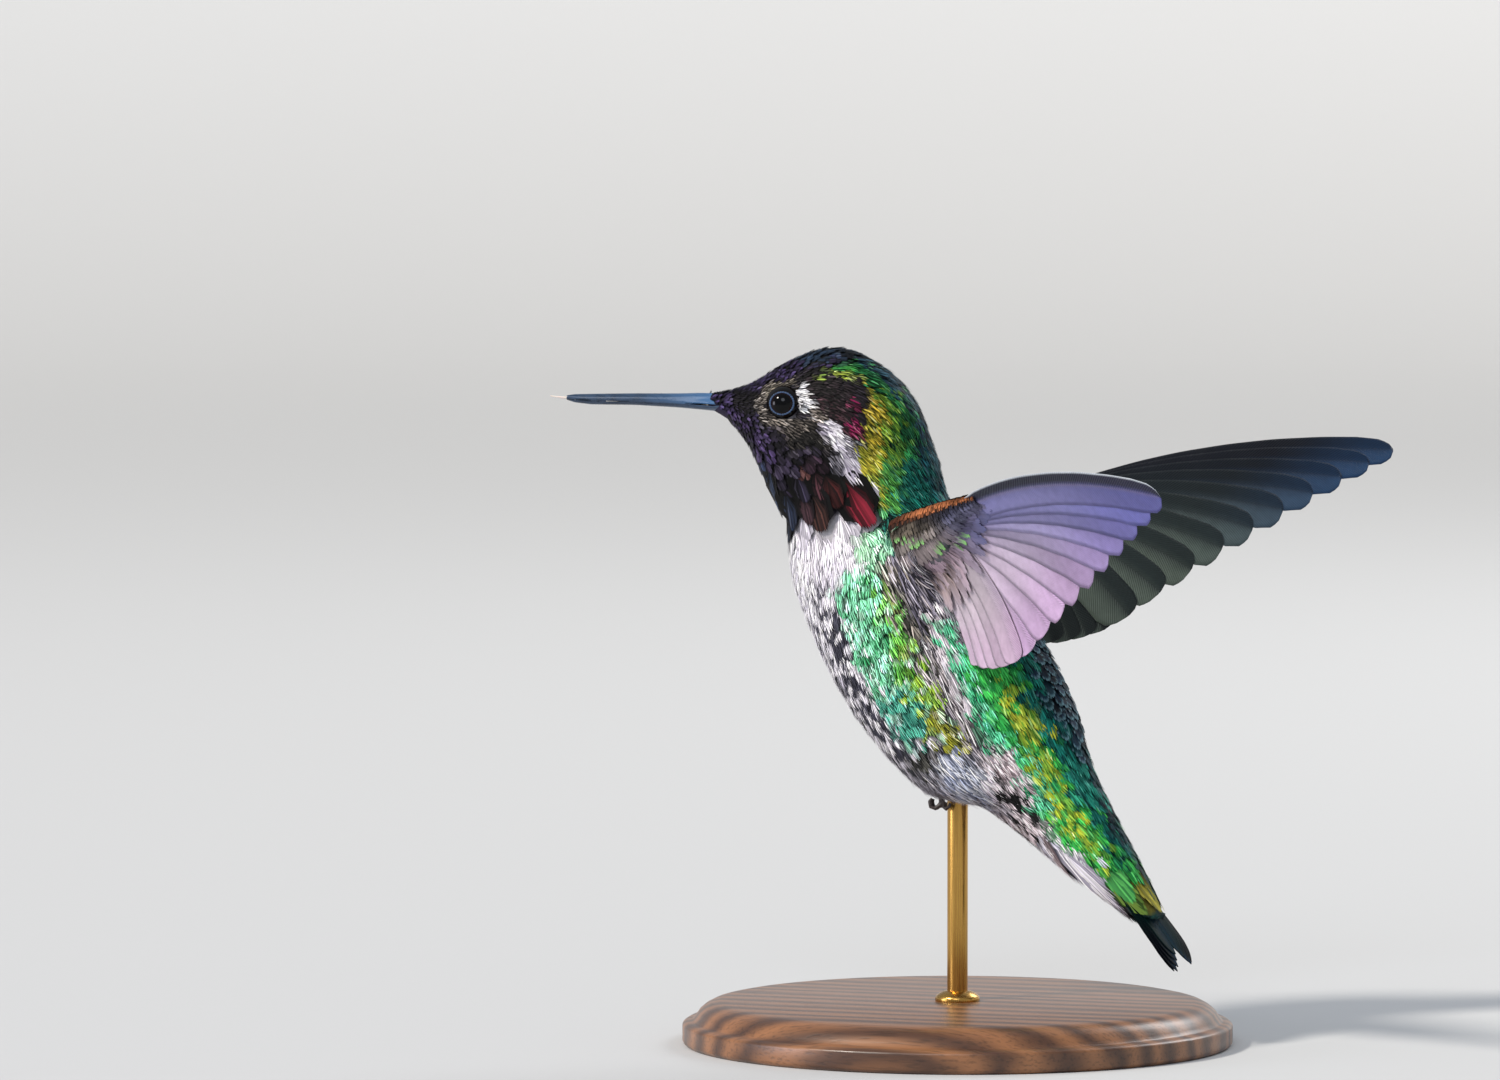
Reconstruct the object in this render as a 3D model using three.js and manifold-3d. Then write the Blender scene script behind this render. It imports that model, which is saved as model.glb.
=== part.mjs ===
// Anna's hummingbird, adult male, hovering at the back of its wing stroke,
// held by a plain museum stand: a round wooden base and one brass rod.
// Millimetres, +Z up. The bird faces -X, its left side is towards -Y.
// The origin is the centre of the base's underside.
import * as THREE from "three";
import { mergeVertices } from "three/addons/utils/BufferGeometryUtils.js";
import Module from "manifold-3d";

const wasm = await Module();
wasm.setup();

// ---- driving dimensions ----
const GAP = 0.3; // clearance between neighbouring pieces
const BODY_SIDES = 24; // facets round the body
const HEAD_STEPS = 16; // sections along each loft
const TRUNK_STEPS = 20;
const BILL_STEPS = 12;
const BILL_SIDES = 12;
const BASE_SIDES = 45; // odd, so that no facet edge crosses the middle
const ARM_STEPS = 10;
const ARM_SIDES = 14;
const STAND = { radius: 32, thick: 5, edge: 1.2, rod: 1.2, seat: 1.2, rodTop: 33.5 };
const BILL_TIP = { x: -45.9, z: 75.1 };
const HEAD_TURN = 18; // degrees, the face turned to the bird's left
const NECK = { x: -9.4, low: 56, high: 65 }; // the turn builds up between these heights
const EYE = { x: -20.6, z: 74.4, y: 3.4, radius: 2.2, gap: 0.1 };
const GAPE = { line: [[-45, 74.85], [-30, 74.3]], gap: 0.12 };
const TONGUE = { radius: 0.25, length: 1.6, rise: 6 };
const FOOT = { x: -1.4, y: 2.1, z: 29.3, toe: 0.28 };
const SHOULDER = { x: -4.5, y: 8, z: 59.0 };
const SLIVER = 0.02; // facets thinner than this are merged away
const VANE = 0.5; // thickness of a flight feather's blade
const WING_LAYER = 0.05; // step from one flight feather to the next

// Head: upright sections from the feathered bill base back to the nape,
// with the height of crown and throat and the half width.
const HEAD = [
  { x: -29.8, top: 75.65, low: 73.6, half: 1.15 },
  { x: -28.3, top: 75.9, low: 72.9, half: 1.8 },
  { x: -25.6, top: 76.4, low: 70.9, half: 3.3 },
  { x: -23.9, top: 77.2, low: 67.3, half: 4.35 },
  { x: -22.2, top: 78.3, low: 63.9, half: 5.0 },
  { x: -20.4, top: 79.4, low: 61.3, half: 5.5 },
  { x: -18.4, top: 80.35, low: 59.8, half: 5.95 },
  { x: -16.2, top: 81.05, low: 59.7, half: 6.3 },
  { x: -13.8, top: 81.2, low: 60.3, half: 6.5 },
  { x: -11.5, top: 80.4, low: 61.5, half: 6.4 },
  { x: -9.3, top: 79.1, low: 63.3, half: 6.0 },
  { x: -7.0, top: 77.3, low: 65, half: 5.2 },
  { x: -5.2, top: 74.9, low: 66.8, half: 4.0 },
  { x: -3.9, top: 72.1, low: 68.5, half: 2.2 },
];

// Bill, closed: sections from its feathered base to its tip, with the height
// of the middle, half the depth and half the width.
const BILL = [
  { x: -30.15, z: 74.65, tall: 0.98, half: 1.02 },
  { x: -33, z: 74.75, tall: 0.82, half: 0.88 },
  { x: -38, z: 74.9, tall: 0.68, half: 0.72 },
  { x: -43, z: 74.9, tall: 0.62, half: 0.6 },
  { x: -45, z: 75.0, tall: 0.48, half: 0.45 },
  { x: BILL_TIP.x, z: BILL_TIP.z, tall: 0.25, half: 0.25 },
];

// Trunk: sections from the neck to the end of the tail coverts, each from
// a point on the underside to a point on the back, with the half width.
const TRUNK = [
  { under: [-20.0, 65.9], back: [-4.6, 72.9], half: 5.6 },
  { under: [-21.6, 63.1], back: [-2.7, 69.2], half: 6.4 },
  { under: [-20.6, 59.5], back: [-1.5, 63.9], half: 6.9 },
  { under: [-20.3, 54.6], back: [1.7, 59.8], half: 8.4 },
  { under: [-18.4, 49.4], back: [5.3, 55.1], half: 9.3 },
  { under: [-15.4, 42.8], back: [9.0, 49.3], half: 9.5 },
  { under: [-11.6, 36.8], back: [12.4, 43.5], half: 9.1 },
  { under: [-7.0, 31.7], back: [14.7, 38.2], half: 8.1 },
  { under: [-2.8, 28.4], back: [16.2, 33.1], half: 6.7 },
  { under: [2.4, 27.9], back: [17.7, 29.8], half: 5.4 },
  { under: [8.1, 24.2], back: [20.1, 25.3], half: 4.7 },
  { under: [12.9, 20.5], back: [22.6, 20.7], half: 4.4 },
  { under: [17.3, 17.7], back: [24.2, 17.5], half: 4.0 },
  { under: [20.6, 15.2], back: [25.4, 15.2], half: 3.1 },
];

// Where the body is parted: two points of each cut in the bird's own plane.
const CUTS = {
  head: [[-22.5, 58.9], [-2.6, 70.9]],
  neck: [[-22.5, 53.9], [-0.6, 62.7]],
  rump: [[2.0, 26.3], [18.0, 32.5]],
};

// A wing is drawn flat: s runs from the shoulder to the tip, t from the
// leading to the trailing edge, and n out of the upper surface.
const WING = {
  left: { side: -1, sweep: 43.5, raise: 7, pitch: 21 },
  right: { side: 1, sweep: 35.5, raise: 8.8, pitch: 33 },
  wrist: [9, -1.0],
  handTip: [16, -2.3],
  elbow: [3.4, 3.6],
  camber: 1.1,
  chord: 18,
  parting: [[9.6, -8], [18.4, 26]],
};
const PRIMARIES = { count: 10, outer: [57.5, -0.1], inner: [18.6, 15.2], bow: [0.5, 2.5] };
const SECONDARIES = { count: 6, outer: [15.2, 16.2], inner: [4.4, 15.6], bow: [0.3, 0.6] };
const ARM = [
  { s: -3.5, t: 2.0, chord: 4.2, thick: 2.6 },
  { s: 1.5, t: 1.5, chord: 4.4, thick: 2.2 },
  { s: 6.0, t: 0.6, chord: 3.9, thick: 1.6 },
  { s: 11.0, t: -0.8, chord: 2.8, thick: 1.2 },
  { s: 16.0, t: -2.2, chord: 1.6, thick: 0.9 },
  { s: 20.5, t: -3.2, chord: 0.7, thick: 0.5 },
];

// The tail droops a little towards its sides, bends down towards its tip and
// is twisted, with its left side lower.
const TAIL = {
  root: [12.6, 28.7],
  axis: [0.646, -0.763],
  drop: 0.1,
  bend: 0.8,
  length: 24,
  bank: 0.13,
};
// Rectrices from the middle pair outwards: reach of the tip along the tail,
// distance of the tip and of the root from the middle, and half width.
const RECTRICES = [
  { reach: 22.2, tip: 0.6, root: 0.5, half: 1.7 },
  { reach: 22.9, tip: 1.1, root: 0.9, half: 1.7 },
  { reach: 23.6, tip: 1.6, root: 1.3, half: 1.6 },
  { reach: 24.0, tip: 2.2, root: 1.7, half: 1.5 },
  { reach: 23.8, tip: 2.8, root: 2.1, half: 1.3 },
];

const COLOURS = {
  crown: [0x2a1c30, 0.35, 0.3],
  green: [0x2f8f4a, 0.4, 0.3],
  breast: [0xa9a8ad, 0.75, 0],
  wing: [0x4c4a55, 0.5, 0],
  tail: [0x1b2738, 0.4, 0.1],
  bill: [0x1c232b, 0.3, 0],
  eye: [0x0a0a0c, 0.05, 0],
  foot: [0x2b2626, 0.6, 0],
  tongue: [0xd8c8c0, 0.4, 0],
  wood: [0x5b3b25, 0.5, 0],
  brass: [0xb8954f, 0.3, 1],
};

// ---- helpers ----
const radians = THREE.MathUtils.degToRad;
const smooth = THREE.MathUtils.smoothstep;
const lerp = THREE.MathUtils.lerp;
const pairLerp = (a, b, u) => [lerp(a[0], b[0], u), lerp(a[1], b[1], u)];

function solidOf(geometry) {
  const bare = geometry.index ? geometry.toNonIndexed() : geometry.clone();
  bare.deleteAttribute("normal");
  bare.deleteAttribute("uv");
  const merged = mergeVertices(bare, 1e-4);
  return new wasm.Manifold(
    new wasm.Mesh({
      numProp: 3,
      vertProperties: merged.attributes.position.array,
      triVerts: new Uint32Array(merged.index.array),
    }),
  );
}

function geometryOf(solid) {
  const { numProp, vertProperties, triVerts, numVert } = solid.simplify(SLIVER).getMesh();
  const points = new Float32Array(numVert * 3);
  for (let i = 0; i < numVert; i++) {
    points.set(vertProperties.subarray(i * numProp, i * numProp + 3), i * 3);
  }
  const geometry = new THREE.BufferGeometry();
  geometry.setAttribute("position", new THREE.BufferAttribute(points, 3));
  geometry.setIndex(new THREE.BufferAttribute(triVerts, 1));
  const flat = geometry.toNonIndexed();
  flat.computeVertexNormals();
  return flat;
}

// Joins rings of points, given from one end to the other, into a closed skin.
function skinOf(rings) {
  const sides = rings[0].length;
  const points = rings.flat();
  const faces = [];
  for (let r = 0; r < rings.length - 1; r++) {
    for (let k = 0; k < sides; k++) {
      const a = r * sides + k;
      const b = r * sides + ((k + 1) % sides);
      faces.push(a, b, a + sides, b, b + sides, a + sides);
    }
  }
  const last = (rings.length - 1) * sides;
  [rings[0], rings.at(-1)].forEach((ring) => {
    const middle = ring.reduce((sum, p) => sum.add(p), new THREE.Vector3());
    points.push(middle.divideScalar(sides));
  });
  for (let k = 0; k < sides; k++) {
    const next = (k + 1) % sides;
    faces.push(points.length - 2, next, k);
    faces.push(points.length - 1, last + k, last + next);
  }
  const geometry = new THREE.BufferGeometry().setFromPoints(points);
  geometry.setIndex(faces);
  const solid = solidOf(geometry);
  if (solid.volume() > 0) return solid;
  for (let i = 0; i < faces.length; i += 3) {
    [faces[i + 1], faces[i + 2]] = [faces[i + 2], faces[i + 1]];
  }
  geometry.setIndex(faces);
  return solidOf(geometry);
}

// A smooth run of number lists through the given ones.
function blended(rows, steps) {
  const width = rows[0].length;
  const tracks = [];
  for (let c = 0; c < width; c++) {
    const points = rows.map((row, i) => new THREE.Vector2(i, row[c]));
    tracks.push(new THREE.SplineCurve(points));
  }
  return Array.from({ length: steps + 1 }, (_, i) => tracks.map((t) => t.getPoint(i / steps).y));
}

// An oval ring across the bird's plane, from an underside to a back point.
function bodyRing(under, back, half, grow) {
  const across = new THREE.Vector2(back[0] - under[0], back[1] - under[1]);
  const depth = across.length() / 2 + grow;
  across.normalize();
  const middle = [(under[0] + back[0]) / 2, (under[1] + back[1]) / 2];
  return Array.from({ length: BODY_SIDES }, (_, k) => {
    const angle = (2 * Math.PI * k) / BODY_SIDES;
    const up = Math.cos(angle) * depth;
    return new THREE.Vector3(
      middle[0] + across.x * up,
      Math.sin(angle) * (half + grow),
      middle[1] + across.y * up,
    );
  });
}

function turned(point) {
  const share = smooth(point.z, NECK.low, NECK.high);
  const angle = radians(HEAD_TURN) * share;
  const x = point.x - NECK.x;
  return new THREE.Vector3(
    NECK.x + x * Math.cos(angle) - point.y * Math.sin(angle),
    x * Math.sin(angle) + point.y * Math.cos(angle),
    point.z,
  );
}

// ---- head, neck and trunk, whole ----
function headSkin(grow = 0) {
  const rows = HEAD.map((r) => [r.x, r.top, r.low, r.half]);
  const rings = blended(rows, HEAD_STEPS).map(([x, top, low, half]) =>
    bodyRing([x, low], [x, top], half, grow).map(turned),
  );
  return skinOf(rings);
}

function trunkSkin(grow = 0) {
  const rows = TRUNK.map((r) => [...r.under, ...r.back, r.half]);
  const rings = blended(rows, TRUNK_STEPS).map(([ux, uz, bx, bz, half]) =>
    bodyRing([ux, uz], [bx, bz], half, grow).map(turned),
  );
  return skinOf(rings);
}

// Everything below a line of the bird's plane, raised or lowered by lift.
function underLine([[x0, z0], [x1, z1]], lift) {
  const reach = 120;
  const block = new THREE.BoxGeometry(reach * 2, reach * 2, reach);
  block.translate(0, 0, lift - reach / 2);
  block.rotateY(-Math.atan2(z1 - z0, x1 - x0));
  block.translate((x0 + x1) / 2, 0, (z0 + z1) / 2);
  return solidOf(block);
}

function parted(whole, line, gap) {
  return [
    whole.subtract(underLine(line, gap / 2)),
    whole.intersect(underLine(line, -gap / 2)),
  ];
}

// ---- face ----
function ballAt(x, y, z, radius, detail = 2) {
  const ball = new THREE.IcosahedronGeometry(radius, detail);
  const place = turned(new THREE.Vector3(x, y, z));
  ball.translate(place.x, place.y, place.z);
  return solidOf(ball);
}

function eye(side, grow = 0) {
  return ballAt(EYE.x, EYE.y * side, EYE.z, EYE.radius + grow);
}

function billWhole() {
  const rows = BILL.map((r) => [r.x, r.z, r.tall, r.half]);
  const rings = blended(rows, BILL_STEPS).map(([x, z, tall, half]) =>
    Array.from({ length: BILL_SIDES }, (_, k) => {
      const angle = (2 * Math.PI * k) / BILL_SIDES;
      const up = z + tall * Math.cos(angle);
      return turned(new THREE.Vector3(x, half * Math.sin(angle), up));
    }),
  );
  return skinOf(rings);
}

// The gape line runs level, a little under the middle of the bill.
function billParts() {
  return parted(billWhole(), GAPE.line, GAPE.gap);
}

function tongueTip() {
  const { radius, length, rise } = TONGUE;
  const tube = new THREE.CylinderGeometry(radius, radius, length, 8);
  tube.rotateZ(Math.PI / 2);
  tube.rotateY(radians(rise));
  const middle = BILL_TIP.x - GAP - length / 2;
  const place = turned(new THREE.Vector3(middle, 0, BILL_TIP.z + 0.1));
  tube.rotateZ(radians(HEAD_TURN));
  tube.translate(place.x, place.y, place.z);
  return solidOf(tube);
}

// ---- wings ----
function wingFrame({ side, sweep, raise, pitch }) {
  const [a, e, p] = [sweep, raise, pitch].map(radians);
  const span = new THREE.Vector3(
    Math.cos(e) * Math.cos(a),
    side * Math.cos(e) * Math.sin(a),
    Math.sin(e),
  );
  const inward = new THREE.Vector3(Math.sin(a), -side * Math.cos(a), 0);
  const down = new THREE.Vector3(0, 0, -1).addScaledVector(span, span.z).normalize();
  const chord = down.multiplyScalar(Math.cos(p)).addScaledVector(inward, Math.sin(p));
  const upper = new THREE.Vector3().crossVectors(span, chord).multiplyScalar(-side);
  const shoulder = new THREE.Vector3(SHOULDER.x, side * SHOULDER.y, SHOULDER.z);
  return ([s, t, n]) =>
    shoulder
      .clone()
      .addScaledVector(span, s)
      .addScaledVector(chord, t)
      .addScaledVector(upper, n);
}

const wingCamber = (t) => WING.camber * (1 - ((2 * t) / WING.chord - 0.7) ** 2);

// One flight feather's blade: a bowed quill line, a vane on each side.
function vane(place, base, tip, bow, half, layer) {
  const along = new THREE.Vector2(tip[0] - base[0], tip[1] - base[1]);
  const ahead = new THREE.Vector2(along.y, -along.x).normalize();
  const middle = pairLerp(base, tip, 0.5);
  const quill = new THREE.QuadraticBezierCurve(
    new THREE.Vector2(...base),
    new THREE.Vector2(middle[0] + 2 * bow * ahead.x, middle[1] + 2 * bow * ahead.y),
    new THREE.Vector2(...tip),
  );
  const shares = [0, 0.25, 0.6, 0.86, 0.96, 1];
  const widths = [0.35, 0.9, 1, 0.82, 0.45, 0.12];
  const rings = shares.map((u, i) => {
    const at = quill.getPoint(u);
    const way = quill.getTangent(u);
    const out = new THREE.Vector2(way.y, -way.x);
    const lead = half * widths[i] * 0.8;
    const trail = half * widths[i] * 1.2;
    const corner = (reach, lift) => {
      const s = at.x + out.x * reach;
      const t = at.y + out.y * reach;
      return place([s, t, wingCamber(t) + layer + lift]);
    };
    return [corner(lead, 0), corner(lead, VANE), corner(-trail, VANE), corner(-trail, 0)];
  });
  return skinOf(rings);
}

function vaneRow(place, { count, outer, inner, bow }, from, to, tipAt, width) {
  const vanes = Array.from({ length: count }, (_, i) => {
    const u = i / (count - 1);
    const tip = tipAt(u, inner, outer);
    return vane(place, pairLerp(from, to, u), tip, lerp(...bow, u), width(u), -WING_LAYER * i);
  });
  return wasm.Manifold.union(vanes);
}

// Tips of the primaries crowd towards the wing's point.
function primaryTip(u, inner, outer) {
  const v = 1 - (1 - u) ** 1.12 - 0.06 * u * (1 - u);
  return [lerp(inner[0], outer[0], v), lerp(inner[1], outer[1], v) - 0.8 * Math.sin(Math.PI * v)];
}

function secondaryTip(u, inner, outer) {
  return [lerp(inner[0], outer[0], u), lerp(inner[1], outer[1], u) + 0.7 * Math.sin(Math.PI * u)];
}

function arm(place, grow = 0) {
  const rows = ARM.map((r) => [r.s, r.t, r.chord, r.thick]);
  const rings = blended(rows, ARM_STEPS).map(([s, t, chord, thick]) =>
    Array.from({ length: ARM_SIDES }, (_, k) => {
      const angle = (2 * Math.PI * k) / ARM_SIDES;
      const across = t + (chord + grow) * Math.cos(angle);
      const lift = wingCamber(t) + (thick + grow) * Math.sin(angle);
      return place([s, across, lift]);
    }),
  );
  return skinOf(rings);
}


// One side of a line drawn on the wing, outer for the hand's side.
function wingSide(place, [from, to], outer, gap) {
  const far = outer ? 90 : -90;
  const shift = outer ? gap / 2 : -gap / 2;
  const ring = (t, s) => [
    place([s + shift, t, -9]),
    place([s + shift, t, 9]),
    place([s + far, t, 9]),
    place([s + far, t, -9]),
  ];
  return skinOf([ring(from[1], from[0]), ring(to[1], to[0])]);
}

function largest(solid) {
  return solid.decompose().sort((a, b) => b.volume() - a.volume())[0];
}

function wing(pose, body) {
  const place = wingFrame(pose);
  const clear = arm(place, GAP);
  const hand = vaneRow(
    place, PRIMARIES, WING.wrist, WING.handTip, primaryTip, (u) => lerp(2.7, 2.0, u * u),
  );
  const inner = vaneRow(
    place, SECONDARIES, WING.elbow, WING.wrist, secondaryTip, () => 2.1,
  );
  const outside = wingSide(place, WING.parting, true, GAP);
  const inside = wingSide(place, WING.parting, false, GAP);
  return {
    arm: largest(arm(place).subtract(body)),
    primaries: largest(hand.subtract(clear).subtract(body).intersect(outside)),
    secondaries: largest(inner.subtract(clear).subtract(body).intersect(inside)),
  };
}

// ---- tail ----
function tailPlace([s, t, n]) {
  const [ax, az] = TAIL.axis;
  const part = s / TAIL.length;
  const slope = TAIL.drop * (t / 4) ** 2 + TAIL.bend * part ** 4 - TAIL.bank * t * part;
  return new THREE.Vector3(
    TAIL.root[0] + ax * s - az * (n - slope),
    t,
    TAIL.root[1] + az * s + ax * (n - slope),
  );
}

function rectrix({ reach, tip, root, half }, side, layer) {
  const shares = [0, 0.4, 0.7, 0.88, 0.97, 1];
  const widths = [0.6, 0.85, 1, 0.95, 0.55, 0.2];
  const rings = shares.map((u, i) => {
    const middle = side * lerp(root, tip, u ** 1.3);
    const wide = half * widths[i];
    return [
      tailPlace([reach * u, middle - wide, layer]),
      tailPlace([reach * u, middle + wide, layer]),
      tailPlace([reach * u, middle + wide, layer - VANE]),
      tailPlace([reach * u, middle - wide, layer - VANE]),
    ];
  });
  return skinOf(rings);
}

function tailFan() {
  const pairs = RECTRICES.flatMap((r, i) => [
    rectrix(r, -1, -0.07 * i),
    rectrix(r, 1, -0.07 * i - 0.03),
  ]);
  return wasm.Manifold.union(pairs);
}

// ---- feet ----
function limb(points, radii, sides = 6) {
  const rings = points.map((point, i) => {
    const ahead = points[Math.min(i + 1, points.length - 1)];
    const behind = points[Math.max(i - 1, 0)];
    const way = ahead.clone().sub(behind).normalize();
    const across = new THREE.Vector3(0, 1, 0).addScaledVector(way, -way.y).normalize();
    const third = new THREE.Vector3().crossVectors(way, across);
    return Array.from({ length: sides }, (_, k) => {
      const angle = (2 * Math.PI * k) / sides;
      return point
        .clone()
        .addScaledVector(across, radii[i] * Math.cos(angle))
        .addScaledVector(third, radii[i] * Math.sin(angle));
    });
  });
  return skinOf(rings);
}

// A tucked foot: a short shank out of the belly, the toes curled under it.
function foot(side) {
  const at = (x, y, z) => new THREE.Vector3(FOOT.x + x, side * (FOOT.y + y), FOOT.z + z);
  const r = FOOT.toe;
  const pieces = [limb([at(1.2, 0, 0.6), at(0.1, 0, -1.2), at(-0.2, 0, -1.5)], [0.5, 0.42, 0.35])];
  for (const spread of [-0.55, 0, 0.55]) {
    const toe = [
      at(0.15, spread * 0.35, -1.15),
      at(-0.6, spread * 0.7, -1.75),
      at(-1.1, spread, -1.55),
      at(-1.2, spread * 1.1, -0.9),
      at(-0.9, spread * 1.1, -0.5),
    ];
    pieces.push(limb(toe, [r, r, r * 0.9, r * 0.8, r * 0.5]));
  }
  const hind = [at(0, 0, -1.2), at(0.7, 0.1, -1.8), at(1.1, 0.1, -1.4), at(1.1, 0.1, -0.9)];
  pieces.push(limb(hind, [r, r, r * 0.85, r * 0.5]));
  return wasm.Manifold.union(pieces);
}

// ---- stand ----
function standBase() {
  const { radius, thick, edge, rod, seat } = STAND;
  const hole = rod + 0.05;
  const outline = [
    [0, 0],
    [radius, 0],
    [radius, thick - 2.6],
    [radius - edge, thick - 2.2],
    [radius - edge - 1.2, thick - 0.7],
    [radius - edge - 3.2, thick],
    [hole, thick],
    [hole, seat],
    [0, seat],
  ].map(([x, y]) => new THREE.Vector2(x, y));
  const turnedDisc = new THREE.LatheGeometry(outline, BASE_SIDES);
  turnedDisc.rotateX(Math.PI / 2);
  return solidOf(turnedDisc);
}

function standRod() {
  const { rod, rodTop, seat } = STAND;
  const foot = seat + 0.05;
  const outline = [
    [0, foot],
    [rod - 0.2, foot],
    [rod, foot + 0.2],
    [rod, rodTop - 0.3],
    [rod - 0.3, rodTop],
    [0, rodTop],
  ].map(([x, y]) => new THREE.Vector2(x, y));
  const bar = new THREE.LatheGeometry(outline, 16);
  bar.rotateX(Math.PI / 2);
  return bar;
}

// ---- assembly ----
const group = new THREE.Group();
group.name = "hummingbird";

function add(name, solid, colour) {
  const geometry = solid.isBufferGeometry ? solid : geometryOf(solid);
  const [shade, roughness, metalness] = COLOURS[colour];
  const material = new THREE.MeshStandardMaterial({ color: shade, roughness, metalness });
  const mesh = new THREE.Mesh(geometry, material);
  mesh.name = name;
  group.add(mesh);
}

const tail = tailFan();
const body = headSkin().add(trunkSkin());
const roomy = headSkin(GAP).add(trunkSkin(GAP));
const rodRoom = new THREE.CylinderGeometry(STAND.rod + 0.1, STAND.rod + 0.1, STAND.rodTop + 0.1, 16);
rodRoom.rotateX(Math.PI / 2);
rodRoom.translate(0, 0, (STAND.rodTop + 0.1) / 2);

const bill = billWhole();
const carved = body
  .subtract(eye(-1, EYE.gap))
  .subtract(eye(1, EYE.gap))
  .subtract(bill)
  .subtract(solidOf(rodRoom));
const [head, belowHead] = parted(carved, CUTS.head, GAP);
const [neck, belowNeck] = parted(belowHead, CUTS.neck, GAP);
const [trunk, coverts] = parted(belowNeck, CUTS.rump, GAP);
const [upperBill, lowerBill] = billParts();

add("head", largest(head), "crown");
add("neck", largest(neck), "green");
add("trunk", largest(trunk), "breast");
add("tail_coverts", largest(coverts), "green");
add("tail", largest(tail.subtract(roomy)), "tail");
add("bill_upper", largest(upperBill), "bill");
add("bill_lower", largest(lowerBill), "bill");
add("tongue", tongueTip(), "tongue");
for (const [name, side] of [["left", -1], ["right", 1]]) {
  const parts = wing(WING[name], roomy);
  add(`eye_${name}`, eye(side), "eye");
  add(`wing_arm_${name}`, parts.arm, "green");
  add(`primaries_${name}`, parts.primaries, "wing");
  add(`secondaries_${name}`, parts.secondaries, "wing");
  add(`foot_${name}`, largest(foot(side).subtract(roomy)), "foot");
}
add("stand_base", standBase(), "wood");
add("stand_rod", standRod(), "brass");

export default group;
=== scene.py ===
import bpy
import math
import numpy as np
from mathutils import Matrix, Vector
from mathutils.bvhtree import BVHTree


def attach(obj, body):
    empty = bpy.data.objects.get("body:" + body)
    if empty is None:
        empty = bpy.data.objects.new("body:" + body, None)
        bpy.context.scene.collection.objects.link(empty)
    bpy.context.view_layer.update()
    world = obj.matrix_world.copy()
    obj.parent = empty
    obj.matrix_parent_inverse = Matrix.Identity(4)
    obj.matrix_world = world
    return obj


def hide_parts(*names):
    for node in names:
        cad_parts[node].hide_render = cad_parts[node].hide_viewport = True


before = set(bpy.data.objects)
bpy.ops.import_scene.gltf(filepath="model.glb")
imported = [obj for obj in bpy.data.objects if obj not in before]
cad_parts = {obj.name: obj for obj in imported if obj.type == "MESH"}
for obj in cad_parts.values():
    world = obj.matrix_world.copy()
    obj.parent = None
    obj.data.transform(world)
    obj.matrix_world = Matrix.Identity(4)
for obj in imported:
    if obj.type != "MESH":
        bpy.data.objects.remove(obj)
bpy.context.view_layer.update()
dice = np.random.default_rng(11)
mm = 0.001  # shapes are worked out in millimetres and stored in metres


# small tools
def toLinear(hexColour):
    parts = [int(hexColour[i:i + 2], 16) / 255 for i in (0, 2, 4)]
    return [c / 12.92 if c <= 0.04045 else ((c + 0.055) / 1.055) ** 2.4 for c in parts]


def rgba(hexColour):
    return toLinear(hexColour) + [1]


def hue(hexColour):
    return np.array(toLinear(hexColour))


def unit(a):
    return a / np.maximum(np.linalg.norm(a, axis=-1, keepdims=True), 1e-9)


def ease(low, high, x):
    t = np.clip((np.asarray(x, float) - low) / (high - low), 0, 1)
    return t * t * (3 - 2 * t)


def mix(a, b, share):
    return a + (b - a) * share


# tints colours with one more, by a share for each
def dyed(colours, hexColour, share):
    return mix(colours, hue(hexColour), np.asarray(share)[..., None])


def selectOnly(*pieces):
    bpy.ops.object.select_all(action="DESELECT")
    for piece in pieces:
        piece.select_set(True)
    bpy.context.view_layer.objects.active = pieces[0]


def shadeSmooth(piece, angle):
    selectOnly(piece)
    bpy.ops.object.shade_smooth_by_angle(angle=math.radians(angle))


def applyModifier(piece, kind, **settings):
    modifier = piece.modifiers.new(kind.lower(), kind)
    for name, value in settings.items():
        setattr(modifier, name, value)
    selectOnly(piece)
    bpy.ops.object.modifier_apply(modifier=modifier.name)


# gives a piece its material, hangs it from the root, and hides the nodes it stands for
def finishPiece(piece, material, slot, *nodes):
    piece.data.materials.clear()
    piece.data.materials.append(material)
    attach(piece, "root")
    if nodes:
        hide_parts(*nodes)


# a copy of a CAD node with its doubled points merged
def mergedCopy(name, node):
    piece = bpy.data.objects.new(name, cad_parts[node].data.copy())
    bpy.context.scene.collection.objects.link(piece)
    selectOnly(piece)
    bpy.ops.object.mode_set(mode="EDIT")
    bpy.ops.mesh.select_all(action="SELECT")
    bpy.ops.mesh.remove_doubles(threshold=0.00001)
    bpy.ops.object.mode_set(mode="OBJECT")
    return piece


def dyePoints(mesh, colours):
    layer = mesh.color_attributes.new("plumage", "FLOAT_COLOR", "POINT")
    layer.data.foreach_set("color", np.asarray(colours, np.float32).ravel())


# a filled circle, open for editing: the start of a turned or drawn shape
def startCircle(name, sides, radius, place, turn=(0, 0, 0)):
    bpy.ops.object.select_all(action="DESELECT")
    bpy.ops.mesh.primitive_circle_add(vertices=sides, radius=radius, fill_type="NGON", location=place,
                                      rotation=turn)
    piece = bpy.context.object
    piece.name = piece.data.name = name
    bpy.ops.object.transform_apply(location=True, rotation=True, scale=True)
    bpy.ops.object.mode_set(mode="EDIT")
    bpy.ops.mesh.select_all(action="SELECT")
    return piece


def extrudeTo(shift, scale, centre):
    bpy.ops.mesh.extrude_region_move(TRANSFORM_OT_translate={"value": shift})
    bpy.ops.transform.resize(value=scale, center_override=centre)


def closeShape():
    bpy.ops.mesh.select_all(action="SELECT")
    bpy.ops.mesh.normals_make_consistent(inside=False)
    bpy.ops.object.mode_set(mode="OBJECT")


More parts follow.
